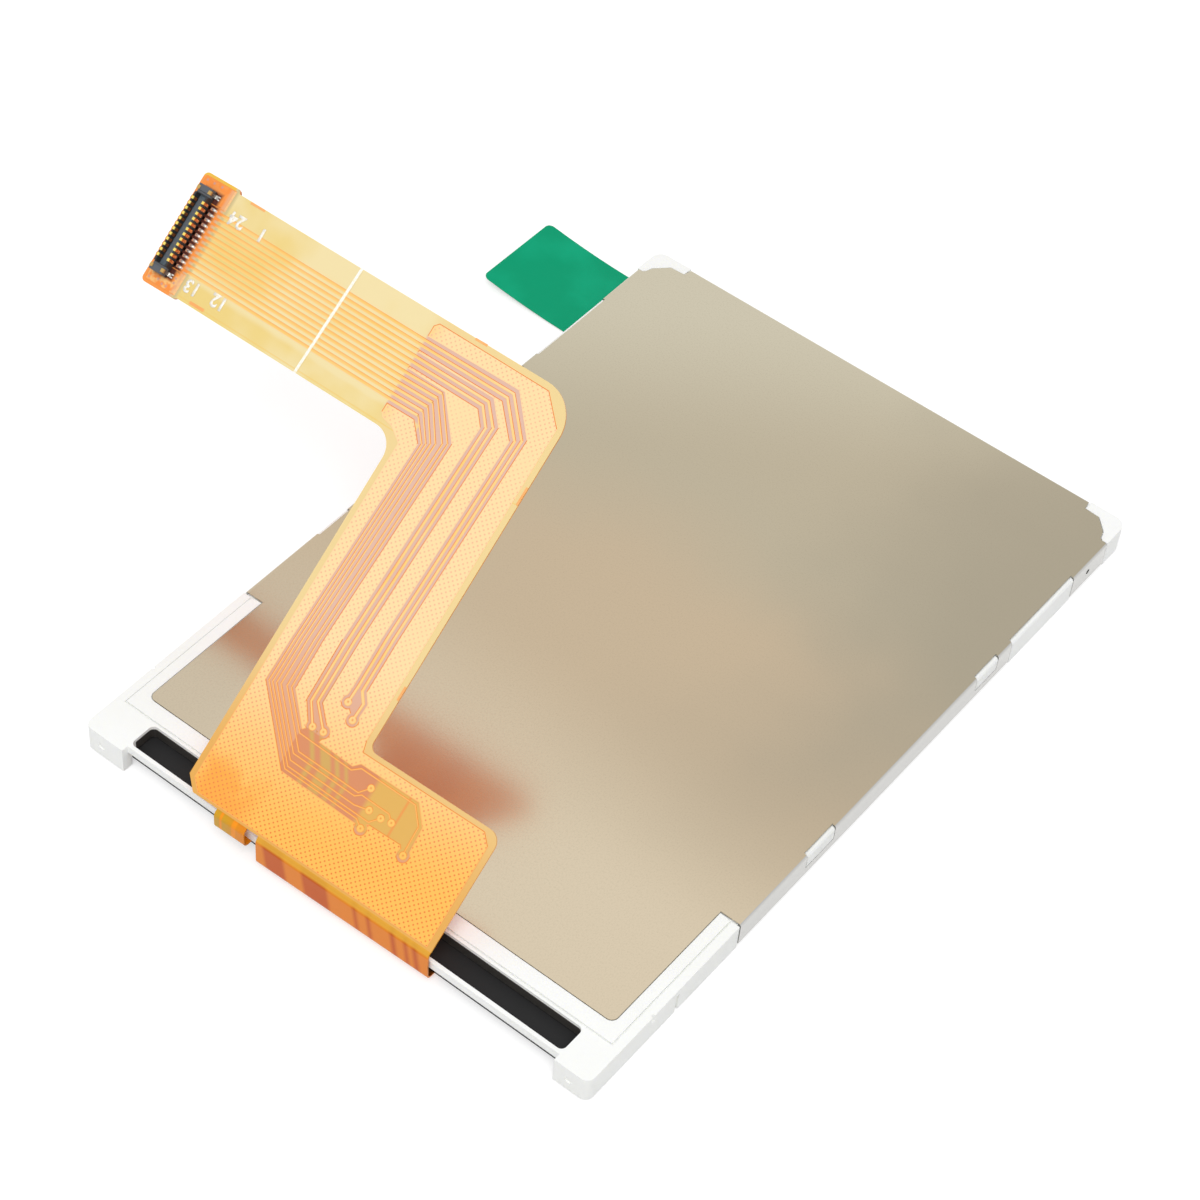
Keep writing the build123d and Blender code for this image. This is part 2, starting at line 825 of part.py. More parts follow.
def contact_row(contact):
    """Height up the sheet of a contact's place in the connector."""
    return lowest_contact + contact_pitch * contact


def ribbon(points, width, mode=Mode.ADD):
    """Flat strip of even width along a line of points, with mitred corners."""
    with BuildLine():
        centre = Polyline(*points)
    trace(centre, line_width=width, mode=mode)


def corridor_run(name, place, contact):
    """Line of one run from the connector through its corridor to its end."""
    edges = list(zip(*corridor_edges[name]))
    first_share, share = [shares[place] for shares in corridor_shares[name]]
    bends = [between(*edges[0], first_share), *[between(low, high, share) for low, high in edges[1:]]]
    if name == "strip":
        # A slant of 45 degrees takes the run down to its row beside the bare window
        last_x, last_y = bends[-1]
        bends.append((last_x + last_y - panel_rows[place], panel_rows[place]))
    start = (runs_start_x, contact_row(contact))
    entry = (pour_start, contact_row(contact) - run_drop)
    return [start, entry, *bends, *run_ends[contact]]


runs = {
    contact: corridor_run(name, place, contact)
    for name, contacts in corridor_contacts.items()
    for place, contact in enumerate(contacts)
}
vias = [run[-1] for run in runs.values()]

with BuildPart() as copper_traces:
    with BuildSketch(sheet_plane):
        for contact in ground_contacts:
            start = (runs_start_x, contact_row(contact))
            ribbon([start, (pour_start - trace_pad_gap, contact_row(contact) - run_drop)], arm_run_width)
        for contact, run in runs.items():
            if contact in corridor_contacts["strip"]:
                ribbon(run[:3], arm_run_width)
                ribbon(run[2:], thin_run_width)
            else:
                ribbon(run, arm_run_width)
        for via in vias:
            with Locations(via):
                Circle(via_radius)
    extrude(amount=copper_thickness)
save(copper_traces, "copper_traces")

# Nearest that bare copper comes to the middle of a run: the edge of the run beside it
neighbour = contact_pitch - arm_run_width / 2
pour_right = panel_right - pour_inset
pour_top = panel_top - pour_top_inset
pour_arm_right = arm_right - pour_inset
pour_arm_top = arm_top - pour_inset
pour_strip_left = flex_left + pour_inset
with BuildPart() as copper_pour:
    with BuildSketch(sheet_plane):
        with BuildLine():
            Polyline(
                (pour_right, pour_fold_margin),
                (pour_right, pour_top - pour_chamfer),
                (pour_right - pour_chamfer, pour_top),
                (arm_right - pour_inset / 2, pour_top),
                (pour_arm_right, panel_top + pour_inset),
                (pour_arm_right, pour_arm_top + arm_shift(pour_arm_right) - pour_turn_chamfer),
                (pour_arm_right - pour_turn_chamfer, pour_arm_top + arm_shift(pour_arm_right)),
                (pour_start + pour_corner, pour_arm_top + arm_shift(pour_start)),
                (pour_start, pour_arm_top + arm_shift(pour_start) - pour_corner),
                (pour_start, arm_bottom + 3 * pour_corner),
                (pour_start + pour_corner, arm_bottom + 2 * pour_corner),
                (flex_left - 2 * pour_corner, arm_bottom + pour_inset),
                (pour_strip_left, arm_bottom - pour_corner),
                (pour_strip_left, strip_bottom_chamfer),
                (pour_strip_left + strip_bottom_chamfer - pour_fold_margin, pour_fold_margin),
                close=True,
            )
        make_face()
        for name, contacts in corridor_contacts.items():
            edge_low, edge_high = corridor_edges[name]
            entry_low = contact_row(contacts[0]) - run_drop - neighbour
            entry_high = contact_row(contacts[-1]) - run_drop + neighbour
            with BuildLine():
                Polyline(
                    (pour_start - overcut, entry_low),
                    *edge_low,
                    *(bare_window if name == "strip" else []),
                    *reversed(edge_high),
                    (pour_start - overcut, entry_high),
                    close=True,
                )
            make_face(mode=Mode.SUBTRACT)
        for name in ("middle", "right"):
            first, second = [runs[contact] for contact in corridor_contacts[name]]
            gap = arm_run_width + 2 * via_clearance
            with BuildLine():
                Polyline(first[-2], first[-1], second[-1], second[-2], close=True)
            make_face(mode=Mode.SUBTRACT)
            for run in (first, second):
                ribbon(run[-4:], gap, Mode.SUBTRACT)
        for via in vias:
            with Locations(via):
                Circle(via_radius + via_clearance, mode=Mode.SUBTRACT)
        # Orange copper field round the connector
        field_high = pad_top - pour_inset / 2
        field_low = pad_bottom + pour_inset / 2
        field_left = reach_left + field_inset
        field_right = pad_start - field_gap
        with Locations(((field_left + field_right) / 2, (field_low + field_high) / 2)):
            Rectangle(field_right - field_left, field_high - field_low)
        runs_half = contact_pitch * contact_count / 2 + field_runs_margin
        with Locations(((field_left + field_right) / 2 + field_gap, connector_y)):
            Rectangle(field_right - field_left, 2 * runs_half, mode=Mode.SUBTRACT)
    extrude(amount=copper_thickness)
save(copper_pour, "copper_pour")

# Stiffener under the connector
with BuildPart() as stiffener:
    with BuildSketch(sheet_plane.offset(-flex_thickness - stiffener_thickness)):
        with Locations(((reach_left + pad_start) / 2, (pad_top + pad_bottom) / 2)):
            RectangleRounded(pad_start - reach_left, pad_top - pad_bottom, pad_corner_radius)
    extrude(amount=stiffener_thickness)
save(stiffener, "stiffener")

# Connector body with its long channel and stepped ends
connector_plane = Plane(
    origin=sheet_plane.from_local_coords(Vector(connector_x, connector_y, copper_thickness)),
    x_dir=across,
    z_dir=sheet_normal,
)
channel_length = contact_pitch * contact_count + 2 * channel_end_room
with BuildPart() as connector_body:
    with BuildSketch(connector_plane.offset(contact_thickness)):
        Rectangle(connector_width, connector_length)
    extrude(amount=connector_height - contact_thickness)
    with BuildSketch(connector_plane.offset(connector_height)):
        RectangleRounded(channel_width, channel_length, channel_corner)
    extrude(amount=-(connector_height - channel_floor - contact_thickness), mode=Mode.SUBTRACT)
    with BuildSketch(connector_plane.offset(connector_height)):
        for end in (-1, 1):
            with Locations((0, end * (channel_length / 2 + end_step_gap))):
                Rectangle(connector_width, end_step_width)
    extrude(amount=-end_step_depth, mode=Mode.SUBTRACT)
save(connector_body, "connector_body")

# Contacts and nails: each a bent strip over one wall, with its foot on the pad outside
wall_outer = connector_width / 2
wall_inner = channel_width / 2
profile_plane = Plane(
    origin=connector_plane.origin, x_dir=connector_plane.x_dir, z_dir=-connector_plane.y_dir
)


def wall_clips(places, width, foot, inner_end):
    """Bent strips over both walls at some places along the connector."""
    crown = connector_height + contact_thickness
    with BuildPart() as clips:
        for place in places:
            with BuildSketch(profile_plane.offset(-place)):
                for side in (-1, 1):
                    inner_leg = [(wall_inner, inner_end)] if inner_end < connector_height else []
                    profile = [
                        *inner_leg,
                        (wall_inner, connector_height),
                        (wall_outer, connector_height),
                        (wall_outer, 0),
                        (wall_outer + foot, 0),
                        (wall_outer + foot, contact_thickness),
                        (wall_outer + contact_thickness, contact_thickness),
                        (wall_outer + contact_thickness, crown),
                        (wall_inner - contact_thickness, crown),
                        (wall_inner - contact_thickness, inner_end),
                    ]
                    with BuildLine():
                        Polyline(*[(side * x, y) for x, y in profile], close=True)
                    make_face()
            extrude(amount=width / 2, both=True)
    return clips


contact_places = [contact_pitch * (i - (contact_count - 1) / 2) for i in range(contact_count)]
contact_end = channel_floor + contact_thickness
save(wall_clips(contact_places, contact_width, contact_foot, contact_end), "connector_contacts")

nail_place = connector_length / 2 - nail_inset
nail_places = [-nail_place, nail_place]
save(wall_clips(nail_places, nail_width, nail_foot, connector_height), "connector_nails")
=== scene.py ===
"""Dresses a small liquid crystal display module, which lies on its glass face with its flexible circuit up.

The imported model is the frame: its nodes get their finishes here and keep their shapes, apart from the
copper of the flexible circuit, which outlined copper replaces. Printed marks, cut copper and solder are
added. All places on the flexible circuit are in its own directions, in millimetres: along it, up it and
away from it.
"""

from math import cos, pi, radians, sin, tan

import bmesh
import bpy
from bpy.props import FloatProperty, FloatVectorProperty, PointerProperty
from mathutils import Euler, Matrix, Vector


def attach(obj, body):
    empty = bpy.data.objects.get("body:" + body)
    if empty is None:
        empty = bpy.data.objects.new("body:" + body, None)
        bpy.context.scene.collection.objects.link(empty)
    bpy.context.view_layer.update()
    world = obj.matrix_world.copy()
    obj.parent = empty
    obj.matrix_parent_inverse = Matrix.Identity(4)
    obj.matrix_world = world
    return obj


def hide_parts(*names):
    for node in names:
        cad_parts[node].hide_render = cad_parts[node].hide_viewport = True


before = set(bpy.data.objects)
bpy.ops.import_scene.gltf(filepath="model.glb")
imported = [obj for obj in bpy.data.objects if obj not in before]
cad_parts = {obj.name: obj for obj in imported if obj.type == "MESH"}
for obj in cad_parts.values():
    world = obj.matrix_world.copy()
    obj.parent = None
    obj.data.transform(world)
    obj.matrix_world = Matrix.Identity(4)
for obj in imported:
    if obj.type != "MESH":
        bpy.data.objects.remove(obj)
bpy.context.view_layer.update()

bl_info = {
    "name": "Display Module",
    "version": (1, 0, 0),
    "blender": (4, 5, 0),
    "location": "View3D > Sidebar > Display",
    "description": "Finishes, copper runs and printed marks of a small display module",
    "category": "Object",
}

MM = 0.001

# The flexible circuit's sheet: where it folds up, how it rises and how far it is turned
FOLD_POINT = Vector((-2.2, -30.56, 3.18)) * MM
SHEET_RISE = radians(36.53)
SHEET_TURN = radians(1.45)
SHEET_ROTATION = Euler((SHEET_RISE, 0, SHEET_TURN), "XYZ")
SHEET_MATRIX = Matrix.Translation(FOLD_POINT) @ SHEET_ROTATION.to_matrix().to_4x4()
SHEET_NORMAL = SHEET_MATRIX.to_3x3() @ Vector((0, 0, 1))

# Outline of the sheet and of the copper in it, in its own millimetres
SHEET_LEFT = -10.15
ARM_RIGHT = -0.35
ARM_TOP = 34.25
ARM_BOTTOM = 26.19
ARM_SLOPE = tan(radians(1.0))
PANEL_RIGHT = 10.3
PAD_RIGHT = -29.5
PAD_MARGIN_BOTTOM = 34.55
BARE_RUNS_RIGHT = -29.87
PAD_PITS = (
    (-30.5, 34.4), (-31.16, 34.37), (-31.76, 34.37), (-29.9, 27.62), (-29.87, 27.29),
    (-30.26, 26.84), (-30.62, 26.84), (-31.04, 26.99), (-31.76, 26.84),
)
VIAS = (
    (1.95, 4.0), (2.78, 5.22), (1.82, 5.25), (3.55, 5.35), (1.15, 6.47),
    (5.36, 4.05), (-4.49, 7.7), (-3.65, 7.79), (-3.28, 10.25), (-2.36, 9.43),
)

# Bare window near the fold: left, right, bottom and top, and what shows in it
WINDOW = (-5.1, 5.6, 3.9, 7.45)
WINDOW_STRIPES = ((-3.45, -3.1), (-2.6, -1.75), (-1.4, -1.05), (-0.6, -0.35))
WINDOW_STRIPES_BOTTOM = 4.2
WINDOW_STRIPES_BEND = 5.9
WINDOW_GOLD_LEFT = 1.35
WINDOW_SEAM = (3.72, 3.88)

# Stripes in the folded strip and on the backlight's tail: left and right
FOLD_STRIPES = ((-3.3, -1.6), (-0.1, 2.0), (4.1, 4.4), (5.2, 5.5), (7.1, 7.5), (8.2, 8.5), (8.9, 9.3))
TAIL_LINES = ((-6.8, -6.6), (-5.8, -5.45))

# Areas of the sheet: left, right, bottom, top and softness
CORRIDORS = ((-11.9, -2.0, 27.6, 33.0, 0.2), (-9.1, -2.0, 3.6, 33.0, 0.1), (-5.2, 5.8, 3.4, 7.7, 0.1))
# Where a shadow is painted round the connector's feet
FEET_SHADOW_AREAS = ((-31.6, -29.92, 28.05, 33.1, 0.3), (-31.6, -30.1, 27.3, 33.95, 0.25))
WRINKLED_CORNER = (-9.6, -5.3, -1.0, 2.9, 1.6)
# Where a highlight is painted along the crest of the bend
FOLD_BEND_HIGHLIGHT = (-20.0, PANEL_RIGHT, -0.36, 0.2, 0.16)
FOLD_LEFT_END = (-20.0, -4.1, -3.0, 0.2, 0.3)
CONNECTOR_CHANNEL = (-31.45, -30.75, 27.6, 33.6, 0.06)

# How sharply the holes of the copper mesh stand out
DOT_CONTRAST = 2.2

# Stretches over which a tone changes, from and to: along the sheet, then up it
FILM_TURN = (-12.6, -10.6)
COPPER_TURN = (-10.5, -12.5)
LINE_TURN = (-11.6, -13.0)
TAIL_TURN = (-6.6, -5.0)
PAD_START = (-28.9, -29.6)
NEAR_FOLD = (15.0, 1.0)
SHIELD_NEAR_FOLD = (16.0, 4.0)
LINE_PAST_FOLD = (6.0, 14.0)
LOW_MARGIN = (27.9, 27.3)
PAD_LOW_SIDE = (28.6, 27.4)

# Stretch up the sheet that reaches past both sides of the arm
PAST_ARM = (20.0, 40.0)

# Thin line inside the lower side of the arm: how far inside, and half its width
RIM_LINE_INSET = 0.22
RIM_LINE_HALF = 0.04

# The connector, in the sheet's millimetres. Where a tone changes over a stretch, it is from and to
CONTACTS_IN_ROW = 12
CONNECTOR_PITCH = 0.4
CONNECTOR_MIDDLE = 30.61
CONNECTOR_ALONG = -31.1
CONNECTOR_END = 2.72
CHANNEL_FLOOR_TOP = 0.5
ENDS_BOTTOM = 0.3
WALL_RISE = (0.25, 0.5)
CROWN_RISE = (0.74, 0.82)
CROWN_REACH = (0.57, 0.53)
FEET_MIDDLE = -30.12
FOOT_START = (-30.42, -30.34)
FOOT_TOP = 0.16
CLIP_BOTTOM = 0.14
CLIP_CROWN_RISE = (0.62, 0.8)
NAIL_SHIFT = 0.14
NAIL_OFFSET = 2.9
NAIL_GAP = 0.2
JOINT_SIZE = Vector((0.42, 0.21, 0.16))

# Far wall of the frame's driver slot, where shade is painted, in the row frame's millimetres,
# with its top, and the top of the back plate's folded sides
SLOT_WALL_SHADE = (-17.8, 18.5, -29.6, -27.9, 0.02)
SLOT_SHADE_TOP = 2.0
PLATE_FOLD_TOP = 2.28

# Print: the share of the font's size that its digits are high, how far they are thickened, and the ink
DIGIT_SHARE = 0.7
DIGIT_BOLD = 0.042 * MM
INK_THICKNESS = 0.004 * MM

# Stage
CAMERA_TARGET = Vector((-3.650, 1.757, 0)) * MM
ROOM_LIGHT = 0.65
FLOOR_GREY = 0.6
FLOOR_GLOW = 0.54
KEY_SPOT = (0.19, -0.34, 0.64)
KEY_WIDTH = 0.45
KEY_POWER = 2.7


def arm_line(level, along):
    """Height on the sheet of a line along the turned arm, from its height at the strip's left side."""
    return level + (SHEET_LEFT - along) * ARM_SLOPE


def srgb(red, green, blue):
    """Colour written as it looks on a screen, from 0 to 255, in Blender's linear light."""
    parts = [value / 255 for value in (red, green, blue)]
    linear = [p / 12.92 if p <= 0.04045 else ((p + 0.055) / 1.055) ** 2.4 for p in parts]
    return (*linear, 1.0)


class FilmColours(bpy.types.PropertyGroup):
    """Colours of the flexible circuit."""

    single: FloatVectorProperty(
        name="Single layer", description="Film with no copper behind it", subtype="COLOR", size=4,
        default=srgb(238, 219, 164),
    )
    single_deep: FloatVectorProperty(
        name="Single layer, deep", description="Deeper patches of the same film", subtype="COLOR", size=4,
        default=srgb(234, 206, 124),
    )
    margin: FloatVectorProperty(
        name="Margin", description="Film outside the copper", subtype="COLOR", size=4,
        default=srgb(236, 208, 144),
    )
    shield: FloatVectorProperty(
        name="Shield", description="Rear copper seen between the runs", subtype="COLOR", size=4,
        default=srgb(222, 181, 162),
    )
    # Paler tone far from the fold: painted sheen on the covered copper
    copper_pale_sheen: FloatVectorProperty(
        name="Copper, far end", description="Covered copper at the turn of the arm", subtype="COLOR",
        size=4, default=srgb(254, 217, 160),
    )
    copper_deep: FloatVectorProperty(
        name="Copper, near the fold", description="Covered copper at the fold", subtype="COLOR", size=4,
        default=srgb(252, 186, 76),
    )
    # Painted lit tone along the copper's upper edges
    edge: FloatVectorProperty(
        name="Copper edge", description="Upper edges of the covered copper", subtype="COLOR", size=4,
        default=srgb(234, 132, 38),
    )
    fold: FloatVectorProperty(
        name="Fold", description="Folded strip and underside", subtype="COLOR", size=4,
        default=srgb(211, 124, 30),
    )


class PrintSizes(bpy.types.PropertyGroup):
    """Sizes of the printed marks on the flexible circuit."""

    digit_height: FloatProperty(
        name="Digit height", description="Height of the pin numbers", unit="LENGTH", default=0.90 * MM
    )
    line_width: FloatProperty(
        name="Line width", description="Width of the white line across the arm", unit="LENGTH",
        default=0.21 * MM,
    )
    ink_height: FloatProperty(
        name="Ink height", description="How far the ink stands on the film", unit="LENGTH",
        default=0.025 * MM,
    )
    # Width of the painted light and shade lines along the copper's edges
    edge_width: FloatProperty(
        name="Copper edge width", description="Width of the line along each copper edge", unit="LENGTH",
        default=0.05 * MM,
    )


class BodyColours(bpy.types.PropertyGroup):
    """Colours of the module itself."""

    plate: FloatVectorProperty(
        name="Back plate", description="Rolled steel back plate", subtype="COLOR", size=4,
        default=srgb(217, 202, 176),
    )
    # Duller far corner: painted shade in the plate's reflection
    plate_far_painted_shade: FloatVectorProperty(
        name="Back plate, far", description="Duller far corner of the back plate", subtype="COLOR", size=4,
        default=srgb(170, 161, 141),
    )
    moulding: FloatVectorProperty(
        name="Frame", description="White moulding round the module", subtype="COLOR", size=4,
        default=srgb(250, 251, 249),
    )
    tab: FloatVectorProperty(
        name="Pull tab", description="Green pull tab of the front film", subtype="COLOR", size=4,
        default=srgb(0, 155, 111),
    )
    tape: FloatVectorProperty(
        name="Tape", description="Black tape over the driver ledge", subtype="COLOR", size=4,
        default=srgb(42, 42, 42),
    )


class StageSizes(bpy.types.PropertyGroup):
    """Camera and floor."""

    azimuth: FloatProperty(
        name="Azimuth", description="Camera direction round the module", subtype="ANGLE",
        default=radians(34.02),
    )
    elevation: FloatProperty(
        name="Elevation", description="Camera height above the floor", subtype="ANGLE",
        default=radians(48.54),
    )
    roll: FloatProperty(
        name="Roll", description="Turn of the camera about its own view", subtype="ANGLE",
        default=radians(5.77),
    )
    distance: FloatProperty(
        name="Distance", description="From the camera to its target", unit="LENGTH", default=217.0 * MM
    )
    lens: FloatProperty(name="Lens", description="Focal length in millimetres of sensor", default=93.62)
    floor: FloatProperty(name="Floor", description="Width of the floor", unit="LENGTH", default=6.0)


# Small helpers for shader nodes


def start_finish(name, roughness, metallic=0.0):
    """New material with its shader's plain values set. Returns the material, its tree and its shader."""
    material = bpy.data.materials.new(name)
    material.use_nodes = True
    shader = material.node_tree.nodes["Principled BSDF"]
    shader.inputs["Roughness"].default_value = roughness
    shader.inputs["Metallic"].default_value = metallic
    return material, material.node_tree, shader


def feed(tree, value, socket):
    """Give a socket either a link or a plain value."""
    if isinstance(value, bpy.types.NodeSocket):
        tree.links.new(value, socket)
    else:
        socket.default_value = value


def calc(tree, operation, first, second=0.0, clamp=False):
    """One sum between two values."""
    node = tree.nodes.new("ShaderNodeMath")
    node.operation = operation
    node.use_clamp = clamp
    feed(tree, first, node.inputs[0])
    feed(tree, second, node.inputs[1])
    return node.outputs[0]


def mix(tree, mask, low, high):
    """Colour that goes from low to high with a mask."""
    node = tree.nodes.new("ShaderNodeMix")
    node.data_type = "RGBA"
    feed(tree, mask, node.inputs["Factor"])
    feed(tree, low, node.inputs["A"])
    feed(tree, high, node.inputs["B"])
    return node.outputs["Result"]


def ramp(tree, value, low, high):
    """Value stretched so that low becomes 0 and high becomes 1, smoothly."""
    node = tree.nodes.new("ShaderNodeMapRange")
    node.interpolation_type = "SMOOTHSTEP"
    feed(tree, value, node.inputs["Value"])
    node.inputs["From Min"].default_value = low
    node.inputs["From Max"].default_value = high
    return node.outputs["Result"]


def either(tree, *masks):
    """Mask that holds wherever one of the masks does."""
    whole = masks[0]
    for mask in masks[1:]:
        whole = calc(tree, "MAXIMUM", whole, mask)
    return whole


def both(tree, first, second):
    """Mask that holds where two masks do."""
    return calc(tree, "MULTIPLY", first, second)


def away_from(tree, value, middle):
    """Distance of a value from its middle."""
    return calc(tree, "ABSOLUTE", calc(tree, "SUBTRACT", value, middle))


def object_spot(tree):
    """Place on the piece, in metres of the row frame."""
    return tree.nodes.new("ShaderNodeTexCoord").outputs["Object"]


def object_millimetres(tree):
    """Place on the piece along each axis of the row frame, in millimetres."""
    scale = tree.nodes.new("ShaderNodeVectorMath")
    scale.operation = "SCALE"
    scale.inputs["Scale"].default_value = 1 / MM
    tree.links.new(object_spot(tree), scale.inputs[0])
    parts = tree.nodes.new("ShaderNodeSeparateXYZ")
    tree.links.new(scale.outputs[0], parts.inputs[0])
    return parts.outputs


def noise(tree, spot, scale, detail=2.0, stretch=None):
    """Soft noise value over a place, stretched where a direction is given."""
    if stretch is not None:
        mapping = tree.nodes.new("ShaderNodeMapping")
        mapping.inputs["Scale"].default_value = stretch
        tree.links.new(spot, mapping.inputs["Vector"])
        spot = mapping.outputs["Vector"]
    node = tree.nodes.new("ShaderNodeTexNoise")
    node.inputs["Scale"].default_value = scale
    node.inputs["Detail"].default_value = detail
    tree.links.new(spot, node.inputs["Vector"])
    return node.outputs["Fac"]


def bump(tree, shader, height, distance):
    """Let a height value disturb the shader's surface."""
    node = tree.nodes.new("ShaderNodeBump")
    node.inputs["Distance"].default_value = distance
    tree.links.new(height, node.inputs["Height"])
    tree.links.new(node.outputs["Normal"], shader.inputs["Normal"])


def new_group(name, inputs, outputs):
    """Empty shader group with float sockets. Returns the group, its entry and its exit."""
    group = bpy.data.node_groups.new(name, "ShaderNodeTree")
    for label, default in inputs:
        socket = group.interface.new_socket(name=label, in_out="INPUT", socket_type="NodeSocketFloat")
        socket.default_value = default
    for label in outputs:
        group.interface.new_socket(name=label, in_out="OUTPUT", socket_type="NodeSocketFloat")
    return group, group.nodes.new("NodeGroupInput"), group.nodes.new("NodeGroupOutput")


def use_group(tree, group_name, **values):
    """Place a group in a tree and give its inputs their values."""
    node = tree.nodes.new("ShaderNodeGroup")
    node.node_tree = bpy.data.node_groups[group_name]
    for label, value in values.items():
        feed(tree, value, node.inputs[label.replace("_", " ")])
    return node.outputs


# Effects that several finishes share


def make_sheet_place():
    """Group: where a point lies on the flexible circuit, in its own millimetres."""
    group, _, leave = new_group("Sheet Place", [], ["Along", "Up", "Off", "Level"])
    mapping = group.nodes.new("ShaderNodeMapping")
    mapping.vector_type = "TEXTURE"
    mapping.inputs["Location"].default_value = FOLD_POINT
    mapping.inputs["Rotation"].default_value = SHEET_ROTATION
    mapping.inputs["Scale"].default_value = (MM, MM, MM)
    group.links.new(object_spot(group), mapping.inputs["Vector"])
    parts = group.nodes.new("ShaderNodeSeparateXYZ")
    group.links.new(mapping.outputs["Vector"], parts.inputs[0])
    for axis, label in zip("XYZ", ("Along", "Up", "Off")):
        group.links.new(parts.outputs[axis], leave.inputs[label])
    beyond = calc(group, "SUBTRACT", SHEET_LEFT, parts.outputs["X"])
    rise = calc(group, "MULTIPLY", calc(group, "MAXIMUM", beyond, 0.0), ARM_SLOPE)
    group.links.new(calc(group, "SUBTRACT", parts.outputs["Y"], rise), leave.inputs["Level"])


def make_patch():
    """Group: mask of a rectangle on the flexible circuit."""
    sides = [("Along", 0.0), ("Up", 0.0), ("Left", 0.0), ("Right", 1.0), ("Bottom", 0.0), ("Top", 1.0)]
    group, enter, leave = new_group("Patch", [*sides, ("Softness", 0.04)], ["Mask"])
    source = enter.outputs
    from_left = calc(group, "SUBTRACT", source["Along"], source["Left"])
    from_right = calc(group, "SUBTRACT", source["Right"], source["Along"])
    from_bottom = calc(group, "SUBTRACT", source["Up"], source["Bottom"])
    from_top = calc(group, "SUBTRACT", source["Top"], source["Up"])
    sideways = calc(group, "MINIMUM", from_left, from_right)
    upright = calc(group, "MINIMUM", from_bottom, from_top)
    inside = calc(group, "MINIMUM", sideways, upright)
    share = calc(group, "DIVIDE", inside, source["Softness"])
    group.links.new(calc(group, "ADD", share, 0.5, clamp=True), leave.inputs["Mask"])


def make_mesh_dots():
    """Group: mask of the holes in the slanting copper mesh behind the film."""
    group, enter, leave = new_group(
        "Mesh Dots", [("Along", 0.0), ("Up", 0.0), ("Pitch", 0.295), ("Size", 0.5)], ["Mask"]
    )
    source = enter.outputs
    slant = 2 * pi / 2**0.5
    waves = []
    for operation in ("ADD", "SUBTRACT"):
        diagonal = calc(group, operation, source["Up"], source["Along"])
        turns = calc(group, "DIVIDE", calc(group, "MULTIPLY", diagonal, slant), source["Pitch"])
        waves.append(calc(group, "COSINE", turns))
    peak = calc(group, "MULTIPLY", calc(group, "ADD", *waves), 0.5)
    above = calc(group, "SUBTRACT", peak, calc(group, "SUBTRACT", 1.0, source["Size"]))
    share = calc(group, "DIVIDE", calc(group, "MULTIPLY", above, DOT_CONTRAST), source["Size"], clamp=True)
    group.links.new(share, leave.inputs["Mask"])


def make_clouds():
    """Group: large soft clouds and a fine grain over a surface."""
    group, enter, leave = new_group(
        "Clouds", [("Cloud Scale", 60.0), ("Grain Scale", 4000.0)], ["Clouds", "Grain"]
    )
    spot = object_spot(group)
    for entry, label, detail in (("Cloud Scale", "Clouds", 3.0), ("Grain Scale", "Grain", 1.0)):
        node = group.nodes.new("ShaderNodeTexNoise")
        node.inputs["Detail"].default_value = detail
        group.links.new(spot, node.inputs["Vector"])
        group.links.new(enter.outputs[entry], node.inputs["Scale"])
        group.links.new(node.outputs["Fac"], leave.inputs[label])


def wear(node_name, material):
    """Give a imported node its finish."""
    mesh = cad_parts[node_name].data
    mesh.materials.clear()
    mesh.materials.append(material)


def sheet_mask(tree, place, left, right, bottom, top, softness=0.04):
    """Mask of a rectangle on the flexible circuit, or on another piece whose place is given."""
    return use_group(
        tree, "Patch", Along=place["Along"], Up=place["Up"], Left=left, Right=right, Bottom=bottom, Top=top,
        Softness=softness,
    )["Mask"]


def sheet_point(along, up, off=0.0):
    """Point on the flexible circuit, given in its own millimetres, in the row frame."""
    return SHEET_MATRIX @ Vector((along * MM, up * MM, off * MM))


def new_piece(name, mesh, materials):
    """Put a finished mesh into the scene as a piece of the object."""
    piece = bpy.data.objects.new(name, mesh)
    bpy.context.scene.collection.objects.link(piece)
    for material in materials:
        mesh.materials.append(material)
    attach(piece, "root")
    return piece


def plain_finish(name, low, high, roughness, scale, metallic=0.0, depth=0.0):
    """Finish of a hidden or small sheet: two close tones in a fine grain."""
    material, tree, shader = start_finish(name, roughness, metallic)
    grain = noise(tree, object_spot(tree), scale)
    tree.links.new(mix(tree, grain, low, high), shader.inputs["Base Color"])
    if depth > 0:
        bump(tree, shader, grain, depth)
    return material, shader


# Finishes of the flexible circuit


def spot_mask(tree, place, spots, half):
    """Mask of small soft spots on the flexible circuit."""
    return either(tree, *(
        sheet_mask(tree, place, along - half, along + half, up - half, up + half, 0.1)
        for along, up in spots
    ))


def painted_shadow_at_feet(tree, place, colour):
    """Colour with a painted shadow round the connector's feet."""
    feet_shadow = either(tree, *(sheet_mask(tree, place, *area) for area in FEET_SHADOW_AREAS))
    return mix(tree, feet_shadow, colour, srgb(84, 34, 20))


def folded_colour(tree, place, colours):
    """Folded strip: orange, with brown patches, slanting stripes of the copper inside it and a painted
    highlight on the bend.
    """
    slanted = calc(tree, "ADD", place["Along"], calc(tree, "MULTIPLY", place["Up"], 0.25))
    any_height = {"Along": slanted, "Up": 0.5}
    stripes = either(tree, *(
        sheet_mask(tree, any_height, left, right, 0.0, 1.0, 0.35) for left, right in FOLD_STRIPES
    ))
    fold = mix(tree, stripes, colours.fold, srgb(184, 86, 20))
    # Painted highlight along the bend, and a paler tone at the strip's left end
    rim = either(tree, sheet_mask(tree, place, *FOLD_BEND_HIGHLIGHT), sheet_mask(tree, place, *FOLD_LEFT_END))
    return mix(tree, calc(tree, "MULTIPLY", rim, 0.75), fold, srgb(228, 174, 66))


